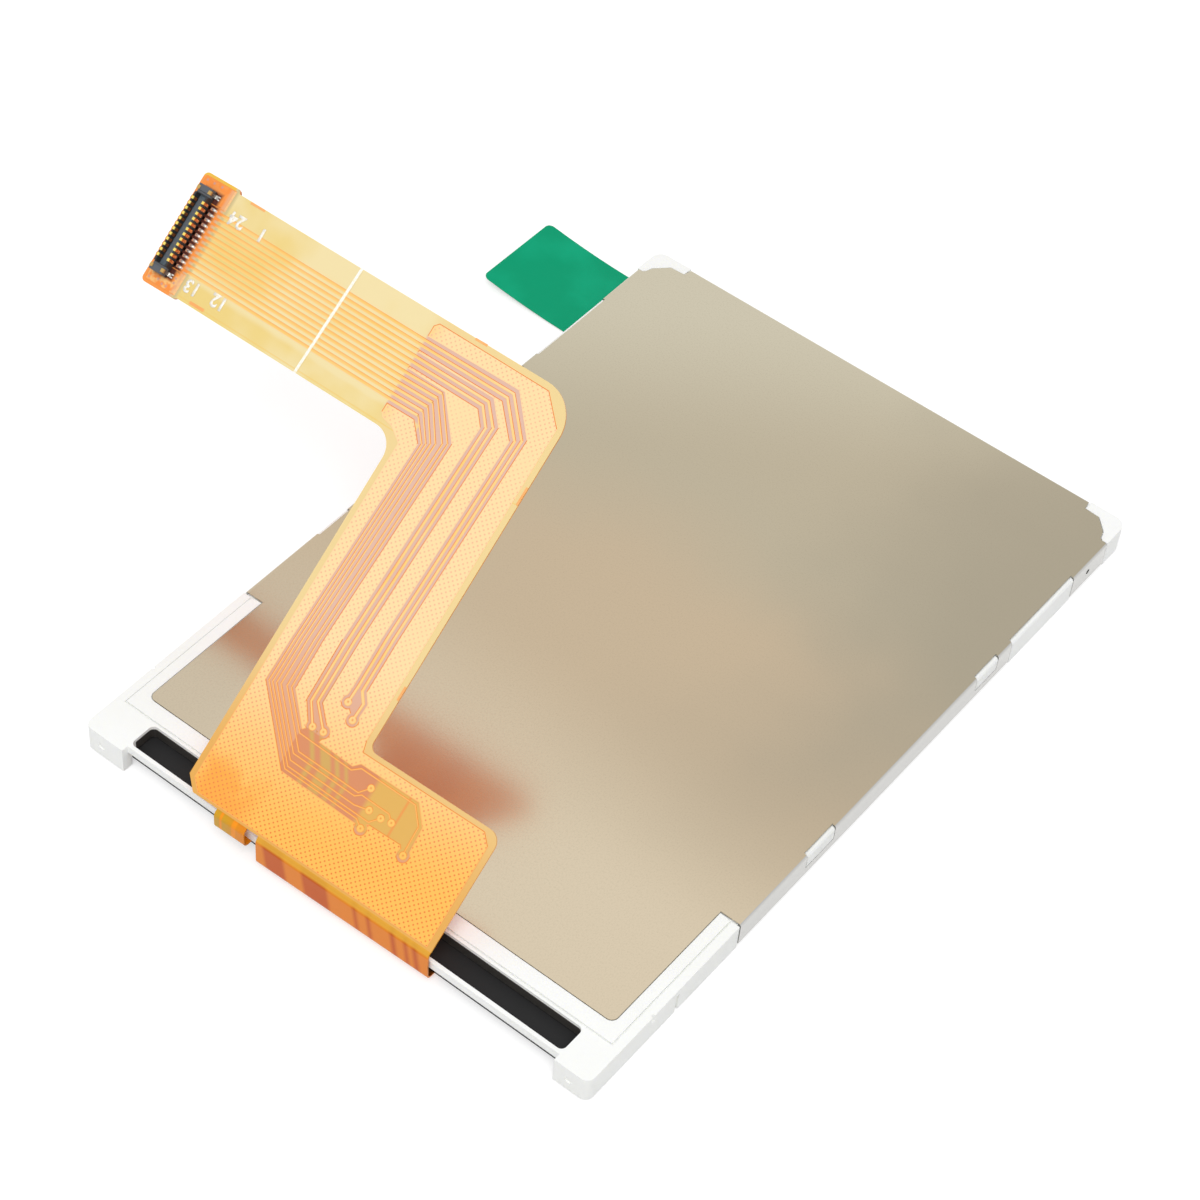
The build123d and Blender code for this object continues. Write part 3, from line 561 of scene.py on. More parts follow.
def plain_film(tree, place, clouds, colours):
    """Film with nothing behind it: pale and cloudy on the arm, deeper at its margins and near the fold."""
    low_margin = calc(tree, "MULTIPLY", ramp(tree, place["Level"], *LOW_MARGIN), 0.2)
    depth = ramp(tree, calc(tree, "ADD", clouds, low_margin), 0.46, 0.72)
    single = mix(tree, depth, colours.single, colours.single_deep)
    film = mix(tree, ramp(tree, place["Along"], *FILM_TURN), single, colours.margin)
    at_strip = calc(tree, "GREATER_THAN", place["Along"], SHEET_LEFT - 1.0)
    return mix(tree, both(tree, ramp(tree, place["Up"], *NEAR_FOLD), at_strip), film, srgb(226, 166, 72))


def film_edges(tree, place, film):
    """Deeper lines at the sheet's cut sides and just inside the lower side of the arm."""
    facing = tree.nodes.new("ShaderNodeVectorMath")
    facing.operation = "DOT_PRODUCT"
    tree.links.new(tree.nodes.new("ShaderNodeNewGeometry").outputs["True Normal"], facing.inputs[0])
    facing.inputs[1].default_value = SHEET_NORMAL
    cut_side = calc(tree, "LESS_THAN", calc(tree, "ABSOLUTE", facing.outputs["Value"]), 0.5)
    film = mix(tree, cut_side, film, srgb(206, 160, 58))
    rim_line = calc(tree, "COMPARE", place["Level"], ARM_BOTTOM + RIM_LINE_INSET)
    rim_line.node.inputs[2].default_value = RIM_LINE_HALF
    return mix(tree, calc(tree, "MULTIPLY", rim_line, 0.5), film, srgb(236, 194, 90))


def film_between_runs(tree, place, film, colours):
    """Rear copper seen between the runs."""
    corridors = either(tree, *(sheet_mask(tree, place, *corridor) for corridor in CORRIDORS))
    deeper = ramp(tree, place["Up"], *SHIELD_NEAR_FOLD)
    return mix(tree, corridors, film, mix(tree, deeper, colours.shield, srgb(222, 156, 112)))


def film_window(tree, place, clouds, film):
    """Bare window near the fold: brownish over the plate, golden at its right end."""
    left, right, bottom, top = WINDOW
    brown = mix(tree, clouds, srgb(220, 140, 92), srgb(206, 132, 88))
    film = mix(tree, sheet_mask(tree, place, left, right, bottom, top), film, brown)
    above_bend = calc(tree, "MAXIMUM", calc(tree, "SUBTRACT", place["Up"], WINDOW_STRIPES_BEND), 0.0)
    bent = calc(tree, "MULTIPLY", above_bend, 0.72)
    slanted = {"Along": calc(tree, "ADD", place["Along"], bent), "Up": place["Up"]}
    for start, end in WINDOW_STRIPES:
        stripe = sheet_mask(tree, slanted, start, end, WINDOW_STRIPES_BOTTOM, top, 0.25)
        film = mix(tree, stripe, film, srgb(208, 164, 84))
    gold = sheet_mask(tree, place, WINDOW_GOLD_LEFT, right, bottom, top, 0.35)
    film = mix(tree, gold, film, srgb(222, 172, 80))
    return mix(tree, sheet_mask(tree, place, *WINDOW_SEAM, bottom, top, 0.1), film, srgb(232, 150, 66))


def film_pad(tree, place, film):
    """Stiff pad under the connector, with its paler end, yellow upper margin, pits and painted shadow at the
    feet.
    """
    film = mix(tree, calc(tree, "LESS_THAN", place["Along"], PAD_RIGHT), film, srgb(247, 150, 60))
    pad_end = sheet_mask(tree, place, PAD_RIGHT - 0.2, PAD_RIGHT + 0.05, *PAST_ARM, 0.2)
    film = mix(tree, pad_end, film, srgb(222, 182, 142))
    # Painted shadow on the film just beside the step at the pad's end
    shadow_beside_pad = sheet_mask(tree, place, PAD_RIGHT + 0.05, PAD_RIGHT + 0.35, *PAST_ARM, 0.2)
    film = mix(tree, shadow_beside_pad, film, srgb(208, 188, 134))
    upper_margin = sheet_mask(tree, place, -40.0, PAD_RIGHT, PAD_MARGIN_BOTTOM, 36.0, 0.1)
    film = mix(tree, upper_margin, film, srgb(236, 186, 60))
    film = mix(tree, spot_mask(tree, place, PAD_PITS, 0.07), film, srgb(214, 150, 118))
    return painted_shadow_at_feet(tree, place, film)


def film_finish(colours):
    """Amber film: pale where it is single, deeper at its margins and fold, mauve between the runs."""
    material, tree, shader = start_finish("amber_film", 0.32)
    place = use_group(tree, "Sheet Place")
    clouds = use_group(tree, "Clouds", Cloud_Scale=150.0, Grain_Scale=3000.0)["Clouds"]
    film = plain_film(tree, place, clouds, colours)
    film = film_edges(tree, place, film)
    film = film_between_runs(tree, place, film, colours)
    film = film_window(tree, place, clouds, film)
    film = film_pad(tree, place, film)
    folded = calc(tree, "LESS_THAN", place["Up"], 0.0)
    under = calc(tree, "LESS_THAN", place["Off"], -0.06)
    film = mix(tree, either(tree, folded, under), film, folded_colour(tree, place, colours))
    tree.links.new(film, shader.inputs["Base Color"])
    bump(tree, shader, clouds, 0.00005)
    tree.links.new(calc(tree, "MULTIPLY", folded, 0.9), shader.inputs["Metallic"])
    unfolded = calc(tree, "SUBTRACT", 1.0, folded)
    tree.links.new(calc(tree, "MULTIPLY", unfolded, 0.25), shader.inputs["Coat Weight"])
    shader.inputs["Coat Roughness"].default_value = 0.15
    # Light that comes through the sheet to its underside
    through = both(tree, under, calc(tree, "GREATER_THAN", place["Up"], 1.0))
    glow = mix(tree, through, (0.0, 0.0, 0.0, 1.0), (0.31, 0.06, 0.0, 1.0))
    tree.links.new(glow, shader.inputs["Emission Color"])
    shader.inputs["Emission Strength"].default_value = 1.0
    return material


def copper_colour(tree, place, colours):
    """Covered copper with painted sheen, paler away from the fold, deeper along the arm; and how near the
    fold it is.
    """
    height = calc(tree, "SUBTRACT", place["Up"], calc(tree, "MULTIPLY", place["Along"], 0.2))
    near_fold = ramp(tree, height, *NEAR_FOLD)
    copper = mix(tree, near_fold, colours.copper_pale_sheen, colours.copper_deep)
    return mix(tree, ramp(tree, place["Along"], *COPPER_TURN), copper, srgb(255, 204, 128)), near_fold


def pour_pad(tree, place, copper):
    """Ground copper of the stiff pad: mottled, with a paler end, pits and painted shadow at the feet."""
    mottles = ramp(tree, noise(tree, object_spot(tree), 2600.0), 0.4, 0.62)
    low_side = ramp(tree, place["Up"], *PAD_LOW_SIDE)
    share = calc(tree, "ADD", calc(tree, "MULTIPLY", low_side, 0.75), 0.15)
    mottled = mix(tree, both(tree, mottles, share), srgb(250, 142, 46), srgb(252, 196, 118))
    copper = mix(tree, calc(tree, "LESS_THAN", place["Along"], PAD_RIGHT), copper, mottled)
    pad_end = sheet_mask(tree, place, PAD_RIGHT - 0.2, PAD_RIGHT, *PAST_ARM, 0.3)
    copper = mix(tree, pad_end, copper, srgb(232, 178, 134))
    copper = mix(tree, spot_mask(tree, place, PAD_PITS, 0.07), copper, srgb(206, 156, 140))
    return painted_shadow_at_feet(tree, place, copper)


def pour_finish(colours):
    """Ground copper under the cover film, with the holes of the mesh behind it."""
    material, tree, shader = start_finish("covered_copper", 0.34)
    place = use_group(tree, "Sheet Place")
    clouds = use_group(tree, "Clouds", Cloud_Scale=220.0, Grain_Scale=3000.0)["Clouds"]
    dots = use_group(tree, "Mesh Dots", Along=place["Along"], Up=place["Up"])["Mask"]
    copper, near_fold = copper_colour(tree, place, colours)
    # Orange wrinkled patch at the lower left corner
    wrinkles = calc(tree, "ADD", clouds, calc(tree, "MULTIPLY", place["Up"], -0.04))
    patch = both(tree, sheet_mask(tree, place, *WRINKLED_CORNER), ramp(tree, wrinkles, 0.33, 0.45))
    copper = mix(tree, patch, copper, srgb(252, 166, 54))
    # The dots also grow paler away from the fold: the same painted sheen
    dot_colour = mix(tree, near_fold, srgb(240, 184, 142), srgb(234, 120, 36))
    copper = mix(tree, both(tree, dots, ramp(tree, clouds, 0.05, 0.55)), copper, dot_colour)
    tree.links.new(pour_pad(tree, place, copper), shader.inputs["Base Color"])
    bump(tree, shader, clouds, 0.00005)
    shader.inputs["Coat Weight"].default_value = 0.25
    shader.inputs["Coat Roughness"].default_value = 0.15
    return material


def trace_finish(colours):
    """Signal runs: under the cover film, and tinned where they lie bare under the connector's feet."""
    material, tree, shader = start_finish("covered_runs", 0.34)
    place = use_group(tree, "Sheet Place")
    clouds = use_group(tree, "Clouds", Cloud_Scale=300.0, Grain_Scale=3000.0)["Clouds"]
    copper, _ = copper_colour(tree, place, colours)
    copper = mix(tree, ramp(tree, clouds, 0.1, 0.9), copper, srgb(255, 196, 96))
    copper = mix(tree, spot_mask(tree, place, VIAS, 0.05), copper, srgb(222, 134, 52))
    copper = mix(tree, ramp(tree, place["Along"], *PAD_START), copper, srgb(252, 150, 62))
    bare = calc(tree, "LESS_THAN", place["Along"], BARE_RUNS_RIGHT)
    tree.links.new(mix(tree, bare, copper, srgb(226, 224, 216)), shader.inputs["Base Color"])
    tree.links.new(calc(tree, "MULTIPLY", bare, 0.9), shader.inputs["Metallic"])
    return material


def edge_finish(name, near, far, arm):
    """Painted lit or shaded line along a copper edge: near the fold, at the turn and on the arm."""
    material, tree, shader = start_finish(name, 0.4)
    place = use_group(tree, "Sheet Place")
    line = mix(tree, ramp(tree, place["Up"], *LINE_PAST_FOLD), near, far)
    line = mix(tree, ramp(tree, place["Along"], *LINE_TURN), line, arm)
    on_pad = ramp(tree, place["Along"], PAD_RIGHT + 0.2, PAD_RIGHT)
    tree.links.new(mix(tree, on_pad, line, srgb(238, 146, 62)), shader.inputs["Base Color"])
    return material


def tail_finish():
    """Backlight's tail: amber, with two brighter lines."""
    material, tree, shader = start_finish("tail_film", 0.3)
    place = use_group(tree, "Sheet Place")
    lines = either(tree, *(
        sheet_mask(tree, place, left, right, -9.0, 9.0, 0.1) for left, right in TAIL_LINES
    ))
    body = mix(tree, ramp(tree, place["Along"], *TAIL_TURN), srgb(210, 158, 34), srgb(230, 138, 20))
    tree.links.new(mix(tree, lines, body, srgb(246, 150, 24)), shader.inputs["Base Color"])
    shader.inputs["Specular IOR Level"].default_value = 0.2
    return material


def board_finish():
    """Stiffener: orange board with fibres that run across the module."""
    material, tree, shader = start_finish("stiffener_board", 0.45)
    fibres = noise(tree, object_spot(tree), 2500.0, 3.0, (1, 3, 1))
    tree.links.new(mix(tree, fibres, srgb(206, 116, 30), srgb(232, 142, 46)), shader.inputs["Base Color"])
    bump(tree, shader, fibres, 0.00002)
    return material


class OBJECT_OT_lcd_film(bpy.types.Operator):
    """Finish the flexible circuit, the backlight's tail, the bond and the stiffener."""

    bl_idname = "object.lcd_film"
    bl_label = "Flexible Circuit Finish"

    def execute(self, context):
        wear("main_flex", film_finish(context.scene.lcd_film))
        wear("led_flex", tail_finish())
        bond, _ = plain_finish("bond_film", srgb(176, 142, 92), srgb(206, 178, 126), 0.35, 9000.0)
        wear("bond_film", bond)
        wear("stiffener", board_finish())
        return {"FINISHED"}


def on_top(face):
    """Whether a face lies on the upper side of the flexible circuit."""
    return face.normal.dot(SHEET_NORMAL) > 0.9


def fill_inside(mesh, inner, rim):
    """Fill what lies inside the edge lines anew, because the inset folds long thin triangles over."""
    inside = set(inner)
    around = set(rim)
    lines = [
        edge for edge in mesh.edges
        if not inside.isdisjoint(edge.link_faces) and not around.isdisjoint(edge.link_faces)
    ]
    bmesh.ops.delete(mesh, geom=inner, context="FACES")
    bmesh.ops.triangle_fill(mesh, use_beauty=True, edges=lines, normal=SHEET_NORMAL)


def outlined_copper(node_name, piece_name, materials, edge_width):
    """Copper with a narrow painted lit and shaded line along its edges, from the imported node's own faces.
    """
    mesh = bmesh.new()
    mesh.from_mesh(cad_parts[node_name].data)
    bmesh.ops.remove_doubles(mesh, verts=mesh.verts, dist=0.002 * MM)
    top = [face for face in mesh.faces if on_top(face)]
    rim = bmesh.ops.inset_region(
        mesh, faces=top, thickness=edge_width, use_even_offset=True, use_boundary=True
    )["faces"]
    # Edges that face this way get the painted lit tone, the others the painted shade
    lit = (SHEET_MATRIX.to_3x3() @ Vector((-0.45, 1, 0))).normalized()
    for face in rim:
        outer = max(face.edges, key=lambda edge: sum(not on_top(side) for side in edge.link_faces))
        middle = (outer.verts[0].co + outer.verts[1].co) / 2
        outward = (middle - face.calc_center_median()).normalized()
        face.material_index = 1 if outward.dot(lit) > 0.1 else 2
    fill_inside(mesh, top, rim)
    for face in mesh.faces:
        face.smooth = False
    finished = bpy.data.meshes.new(piece_name)
    mesh.to_mesh(finished)
    mesh.free()
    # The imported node's own normals no longer fit the inset faces
    for attribute in [item for item in finished.attributes if item.name == "custom_normal"]:
        finished.attributes.remove(attribute)
    piece = new_piece(piece_name, finished, materials)
    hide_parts(node_name)


class OBJECT_OT_lcd_copper(bpy.types.Operator):
    """Outline the covered copper in painted light and shade, so that its edges show as they do under the
    film.
    """

    bl_idname = "object.lcd_copper"
    bl_label = "Covered Copper"

    def execute(self, context):
        colours = context.scene.lcd_film
        width = context.scene.lcd_print.edge_width
        pale = srgb(250, 208, 158)
        # Painted lit and shaded copies of the copper's edge line; the pour's lower edges get a softer
        # painted shade
        lit = edge_finish("copper_edge_painted_light", colours.edge, srgb(230, 118, 32), srgb(244, 158, 66))
        shade = edge_finish(
            "copper_edge_painted_shade", srgb(240, 164, 80), srgb(252, 208, 124), srgb(250, 204, 128)
        )
        soft = edge_finish("pour_edge_painted_shade", srgb(244, 170, 90), pale, pale)
        outlined_copper("copper_pour", "ground_copper", [pour_finish(colours), lit, soft], width)
        outlined_copper("copper_traces", "signal_runs", [trace_finish(colours), lit, shade], 0.8 * width)
        return {"FINISHED"}


def ink_finish():
    """White print, thin enough that the film shows a little through it."""
    material, tree, shader = start_finish("white_ink", 0.5)
    patches = ramp(tree, noise(tree, object_spot(tree), 9000.0), 0.42, 0.72)
    ink = mix(tree, patches, srgb(255, 253, 246), srgb(250, 234, 200))
    tree.links.new(ink, shader.inputs["Base Color"])
    return material


def printed_number(text, along, up, height, lift):
    """Mesh of a number that is printed upside down on the flexible circuit."""
    curve = bpy.data.curves.new("number", "FONT")
    curve.body = text
    curve.size = height / DIGIT_SHARE
    curve.align_x = "CENTER"
    curve.align_y = "CENTER"
    curve.resolution_u = 3
    curve.offset = DIGIT_BOLD
    letter = bpy.data.objects.new("number", curve)
    bpy.context.scene.collection.objects.link(letter)
    bpy.context.view_layer.update()
    mesh = bpy.data.meshes.new_from_object(letter)
    bpy.data.objects.remove(letter)
    place = Matrix.Translation(sheet_point(along, up, lift / MM)) @ SHEET_ROTATION.to_matrix().to_4x4()
    mesh.transform(place @ Matrix.Rotation(pi, 4, "Z"))
    return mesh


class OBJECT_OT_lcd_print(bpy.types.Operator):
    """Print the pin numbers and the white line on the connector's arm."""

    bl_idname = "object.lcd_print"
    bl_label = "Printed Marks"

    def execute(self, context):
        sizes = context.scene.lcd_print
        ink = ink_finish()
        marks = bmesh.new()
        numbers = (("24", -28.25, 33.0), ("1", -26.08, 33.0), ("13", -28.5, 27.68), ("12", -26.22, 27.75))
        for text, along, up in numbers:
            marks.from_mesh(printed_number(text, along, up, sizes.digit_height, sizes.ink_height))
        half = sizes.line_width / MM / 2
        lift = sizes.ink_height / MM
        line_low = -18.73
        line_high = -18.45
        corners = (
            (line_low - half, ARM_BOTTOM), (line_low + half, ARM_BOTTOM),
            (line_high + half, ARM_TOP), (line_high - half, ARM_TOP),
        )
        line = marks.faces.new([
            marks.verts.new(sheet_point(along, arm_line(level, along), lift)) for along, level in corners
        ])
        bmesh.ops.subdivide_edges(marks, edges=list(line.edges), cuts=1)
        bmesh.ops.solidify(marks, geom=list(marks.faces), thickness=INK_THICKNESS)
        bmesh.ops.recalc_face_normals(marks, faces=marks.faces)
        mesh = bpy.data.meshes.new("printed_marks")
        marks.to_mesh(mesh)
        marks.free()
        new_piece("printed_marks", mesh, [ink])
        return {"FINISHED"}


class OBJECT_OT_lcd_ears(bpy.types.Operator):
    """Add the orange ends of cut copper at the edges of the flexible circuit."""

    bl_idname = "object.lcd_ears"
    bl_label = "Edge Marks"

    def execute(self, context):
        material, _ = plain_finish("cut_copper", srgb(242, 158, 78), srgb(252, 190, 122), 0.4, 1500.0)
        ears = bmesh.new()
        depth = 0.16
        spots = (
            (-28.05, -26.8, arm_line(ARM_TOP - depth, -26.8), arm_line(ARM_TOP, -26.8)),
            (-8.91, -7.93, ARM_TOP - depth, ARM_TOP),
            (-28.1, -26.85, arm_line(ARM_BOTTOM + 0.12, -28.1), arm_line(ARM_BOTTOM + 0.34, -28.1)),
            (ARM_RIGHT - depth, ARM_RIGHT, 26.4, 27.7),
            (ARM_RIGHT - depth, ARM_RIGHT, 12.0, 13.0),
        )
        for left, right, bottom, top in spots:
            made = bmesh.ops.create_cube(ears, size=MM)
            bmesh.ops.scale(ears, verts=made["verts"], vec=(right - left, top - bottom, 0.03))
            middle = Vector(((left + right) / 2, (bottom + top) / 2, 0)) * MM
            bmesh.ops.translate(ears, verts=made["verts"], vec=middle)
        bmesh.ops.bevel(
            ears, geom=ears.edges, offset=0.01 * MM, segments=1, profile=0.5, affect="EDGES", material=-1
        )
        bmesh.ops.transform(ears, matrix=SHEET_MATRIX, verts=ears.verts)
        mesh = bpy.data.meshes.new("edge_marks")
        ears.to_mesh(mesh)
        ears.free()
        new_piece("edge_marks", mesh, [material])
        return {"FINISHED"}


def moulding_finish():
    """Connector's moulding: black, with a greyer channel floor and greyer ends."""
    material, tree, shader = start_finish("connector_moulding", 0.4)
    place = use_group(tree, "Sheet Place")
    grain = noise(tree, object_spot(tree), 6000.0)
    channel = sheet_mask(tree, place, *CONNECTOR_CHANNEL)
    floor = both(tree, channel, calc(tree, "LESS_THAN", place["Off"], CHANNEL_FLOOR_TOP))
    ends = calc(tree, "GREATER_THAN", away_from(tree, place["Up"], CONNECTOR_MIDDLE), CONNECTOR_END)
    ends = both(tree, ends, calc(tree, "GREATER_THAN", place["Off"], ENDS_BOTTOM))
    dark = mix(tree, grain, srgb(26, 25, 26), srgb(44, 42, 43))
    dark = mix(tree, ends, dark, srgb(84, 88, 94))
    tree.links.new(mix(tree, floor, dark, srgb(88, 102, 112)), shader.inputs["Base Color"])
    bump(tree, shader, grain, 0.00001)
    return material


def contact_finish():
    """Connector's contacts: tinned feet, orange walls with painted dark reflection low down, and gilt crowns
    with a painted glint.
    """
    material, tree, shader = start_finish("gilt_contact", 0.28, 1.0)
    place = use_group(tree, "Sheet Place")
    low = calc(tree, "LESS_THAN", place["Off"], FOOT_TOP)
    foot = both(tree, low, ramp(tree, place["Along"], *FOOT_START))
    outside = away_from(tree, place["Along"], CONNECTOR_ALONG)
    crown = both(tree, ramp(tree, place["Off"], *CROWN_RISE), ramp(tree, outside, *CROWN_REACH))
    grain = noise(tree, object_spot(tree), 5000.0)
    # Dark tone low on the walls: painted dark reflection
    wall = mix(tree, ramp(tree, place["Off"], *WALL_RISE), srgb(44, 26, 20), srgb(206, 112, 48))
    # Bright gold on the crowns: their gilding, brightened as a painted glint
    gilt = mix(tree, crown, wall, mix(tree, grain, srgb(250, 216, 96), srgb(255, 232, 130)))
    tree.links.new(mix(tree, foot, gilt, srgb(206, 202, 194)), shader.inputs["Base Color"])
    return material


def nail_finish():
    """Connector's nails: tinned feet, a darker clip over the end wall, and a painted gold glint on the
    crown.
    """
    material, tree, shader = start_finish("tinned_nail", 0.34, 0.6)
    place = use_group(tree, "Sheet Place")
    grain = noise(tree, object_spot(tree), 5000.0)
    tin = mix(tree, ramp(tree, grain, 0.35, 0.65), srgb(196, 194, 188), srgb(240, 238, 232))
    clip = calc(tree, "GREATER_THAN", place["Off"], CLIP_BOTTOM)
    tin = mix(tree, clip, tin, srgb(96, 84, 76))
    # Gold tone on the tinned crown: a painted glint
    crown = ramp(tree, place["Off"], *CLIP_CROWN_RISE)
    tree.links.new(mix(tree, crown, tin, srgb(196, 160, 92)), shader.inputs["Base Color"])
    return material


def add_solder(material):
    """Rounded solder over the contacts' feet and over the nails' feet."""
    joints = bmesh.new()
    middle = (CONTACTS_IN_ROW - 1) / 2
    feet = [(number - middle) * CONNECTOR_PITCH for number in range(CONTACTS_IN_ROW)]
    nails = [side * (NAIL_OFFSET + gap) for side in (-1, 1) for gap in (0.0, NAIL_GAP)]
    spots = [(FEET_MIDDLE, offset, 1.0) for offset in feet]
    spots += [(FEET_MIDDLE - NAIL_SHIFT, offset, 0.6) for offset in nails]
    for along, offset, size in spots:
        made = bmesh.ops.create_uvsphere(joints, u_segments=10, v_segments=6, radius=0.5 * MM)["verts"]
        bmesh.ops.scale(joints, verts=made, vec=JOINT_SIZE * size)
        spot = Vector((along, CONNECTOR_MIDDLE + offset, 0.05)) * MM
        bmesh.ops.translate(joints, verts=made, vec=spot)
    bmesh.ops.transform(joints, matrix=SHEET_MATRIX, verts=joints.verts)
    for face in joints.faces:
        face.smooth = True
    mesh = bpy.data.meshes.new("solder_joints")
    joints.to_mesh(mesh)
    joints.free()
    new_piece("solder_joints", mesh, [material])


class OBJECT_OT_lcd_connector(bpy.types.Operator):
    """Finish the board connector: black moulding, gilt contacts with soldered feet, tinned nails."""

    bl_idname = "object.lcd_connector"
    bl_label = "Connector Finish"

    def execute(self, context):
        wear("connector_body", moulding_finish())
        wear("connector_contacts", contact_finish())
        nail = nail_finish()
        wear("connector_nails", nail)
        add_solder(nail)
        return {"FINISHED"}


def plate_colour(tree, drift, colours):
    """Back plate, with a painted reflection gradient: pale near the fold, browner in the middle, duller at
    the far right. Returns its colour and the mask of its folded sides."""
    across, along, height = object_millimetres(tree)
    cloudy_along = calc(tree, "ADD", along, drift)
    far = ramp(tree, cloudy_along, -18.0, 12.0)
    right = both(tree, ramp(tree, calc(tree, "ADD", across, drift), 2.0, 20.0), far)
    # The gradient over the plate is painted reflection
    plate = mix(tree, ramp(tree, across, -6.0, -18.0), colours.plate, srgb(204, 190, 166))
    plate = mix(tree, ramp(tree, along, -20.0, -4.0), plate, srgb(200, 181, 153))
    plate = mix(tree, ramp(tree, cloudy_along, 0.0, 14.0), plate, srgb(190, 179, 155))
    slant = calc(tree, "SUBTRACT", along, calc(tree, "MULTIPLY", across, 0.6))
    plate = mix(tree, ramp(tree, slant, 18.0, 38.0), plate, srgb(206, 198, 176))
    plate = mix(tree, calc(tree, "MULTIPLY", right, 0.85), plate, colours.plate_far_painted_shade)
    return plate, calc(tree, "LESS_THAN", height, PLATE_FOLD_TOP)


class OBJECT_OT_lcd_plate(bpy.types.Operator):
    """Finish the rolled steel back plate, with its soft clouds, fine grain and painted reflection gradient.
    """

    bl_idname = "object.lcd_plate"
    bl_label = "Back Plate Finish"

    def execute(self, context):
        material, tree, shader = start_finish("steel_plate", 0.2, 1.0)
        clouds = use_group(tree, "Clouds", Cloud_Scale=45.0, Grain_Scale=9000.0)["Clouds"]
        grain = noise(tree, object_spot(tree), 9000.0, 2.0, (1.0, 0.7, 1.0))
        drift = calc(tree, "MULTIPLY", calc(tree, "SUBTRACT", clouds, 0.5), 20.0)
        plate, folded = plate_colour(tree, drift, context.scene.lcd_body)
        streaks = calc(tree, "MULTIPLY", ramp(tree, grain, 0.4, 0.8), 0.12)
        plate = mix(tree, streaks, plate, srgb(160, 150, 130))
        # The folded sides get a greyer tone: painted reflection, as they face another way
        tree.links.new(mix(tree, folded, plate, srgb(190, 189, 186)), shader.inputs["Base Color"])
        rough = calc(tree, "ADD", calc(tree, "MULTIPLY", grain, 0.1), 0.13)
        tree.links.new(rough, shader.inputs["Roughness"])
        bump(tree, shader, grain, 0.0000012)
        wear("rear_can", material)
        return {"FINISHED"}


class OBJECT_OT_lcd_frame(bpy.types.Operator):
    """Finish the white moulded frame, with painted shade on the far wall of its driver slot."""

    bl_idname = "object.lcd_frame"
    bl_label = "Moulded Frame Finish"

    def execute(self, context):
        colours = context.scene.lcd_body
        material, tree, shader = start_finish("white_moulding", 0.38)
        clouds = use_group(tree, "Clouds", Cloud_Scale=120.0, Grain_Scale=7000.0)
        tone = ramp(tree, clouds["Clouds"], 0.3, 0.8)
        white = mix(tree, tone, colours.moulding, srgb(245, 246, 242))
        across, along, height = object_millimetres(tree)
        # Painted shade on the slot's far wall
        wall = sheet_mask(tree, {"Along": across, "Up": along}, *SLOT_WALL_SHADE)
        wall = both(tree, wall, calc(tree, "LESS_THAN", height, SLOT_SHADE_TOP))
        tree.links.new(mix(tree, wall, white, srgb(58, 55, 52)), shader.inputs["Base Color"])
        bump(tree, shader, clouds["Grain"], 0.00001)
        shader.inputs["Subsurface Weight"].default_value = 0.15
        shader.inputs["Subsurface Radius"].default_value = (0.001, 0.001, 0.0008)
        shader.inputs["Subsurface Scale"].default_value = 0.4
        wear("mould_frame", material)
        return {"FINISHED"}


class OBJECT_OT_lcd_panel(bpy.types.Operator):
    """Finish the panel: glasses, polarizers, tapes and the driver chip."""

    bl_idname = "object.lcd_panel"
    bl_label = "Panel Finish"

    def execute(self, context):
        colours = context.scene.lcd_body
        glass, shader = plain_finish("panel_glass", srgb(20, 24, 24), srgb(30, 36, 36), 0.06, 900.0)
        shader.inputs["Specular IOR Level"].default_value = 0.25
        wear("tft_glass", glass)
        wear("colour_filter_glass", glass)
        polarizer, shader = plain_finish(
            "polarizer", srgb(20, 20, 23), srgb(28, 28, 32), 0.22, 12000.0, depth=0.000004
        )
        shader.inputs["Coat Weight"].default_value = 0.3
        wear("front_polarizer", polarizer)
        wear("rear_polarizer", polarizer)
        tape, shader = plain_finish("black_tape", colours.tape, srgb(44, 44, 45), 0.6, 1200.0)
        shader.inputs["Specular IOR Level"].default_value = 0.15
        wear("ledge_tape", tape)
        wear("rim_tape", tape)
        chip, _ = plain_finish("silicon", srgb(62, 62, 70), srgb(84, 84, 92), 0.12, 3000.0, metallic=0.6)
        wear("driver_chip", chip)
        return {"FINISHED"}


class OBJECT_OT_lcd_backlight(bpy.types.Operator):
    """Finish the backlight's sheets and its diodes."""

    bl_idname = "object.lcd_backlight"
    bl_label = "Backlight Finish"

    def execute(self, context):
        looks = {
            "upper_prism_film": ("prism_upper", srgb(228, 234, 236), srgb(240, 244, 245), 0.2, 9000.0),
            "lower_prism_film": ("prism_lower", srgb(226, 232, 234), srgb(238, 242, 243), 0.22, 9000.0),
            "diffuser_film": ("diffuser", srgb(236, 236, 233), srgb(246, 246, 244), 0.6, 6000.0),
            "light_guide": ("acrylic", srgb(226, 236, 238), srgb(238, 245, 246), 0.08, 800.0),
            "reflector_film": ("reflector", srgb(244, 245, 243), srgb(251, 252, 250), 0.3, 5000.0),
            "leds": ("led_resin", srgb(240, 236, 206), srgb(250, 246, 224), 0.4, 5000.0),
        }
        for node_name, look in looks.items():
            material, _ = plain_finish(*look)
            wear(node_name, material)
        return {"FINISHED"}


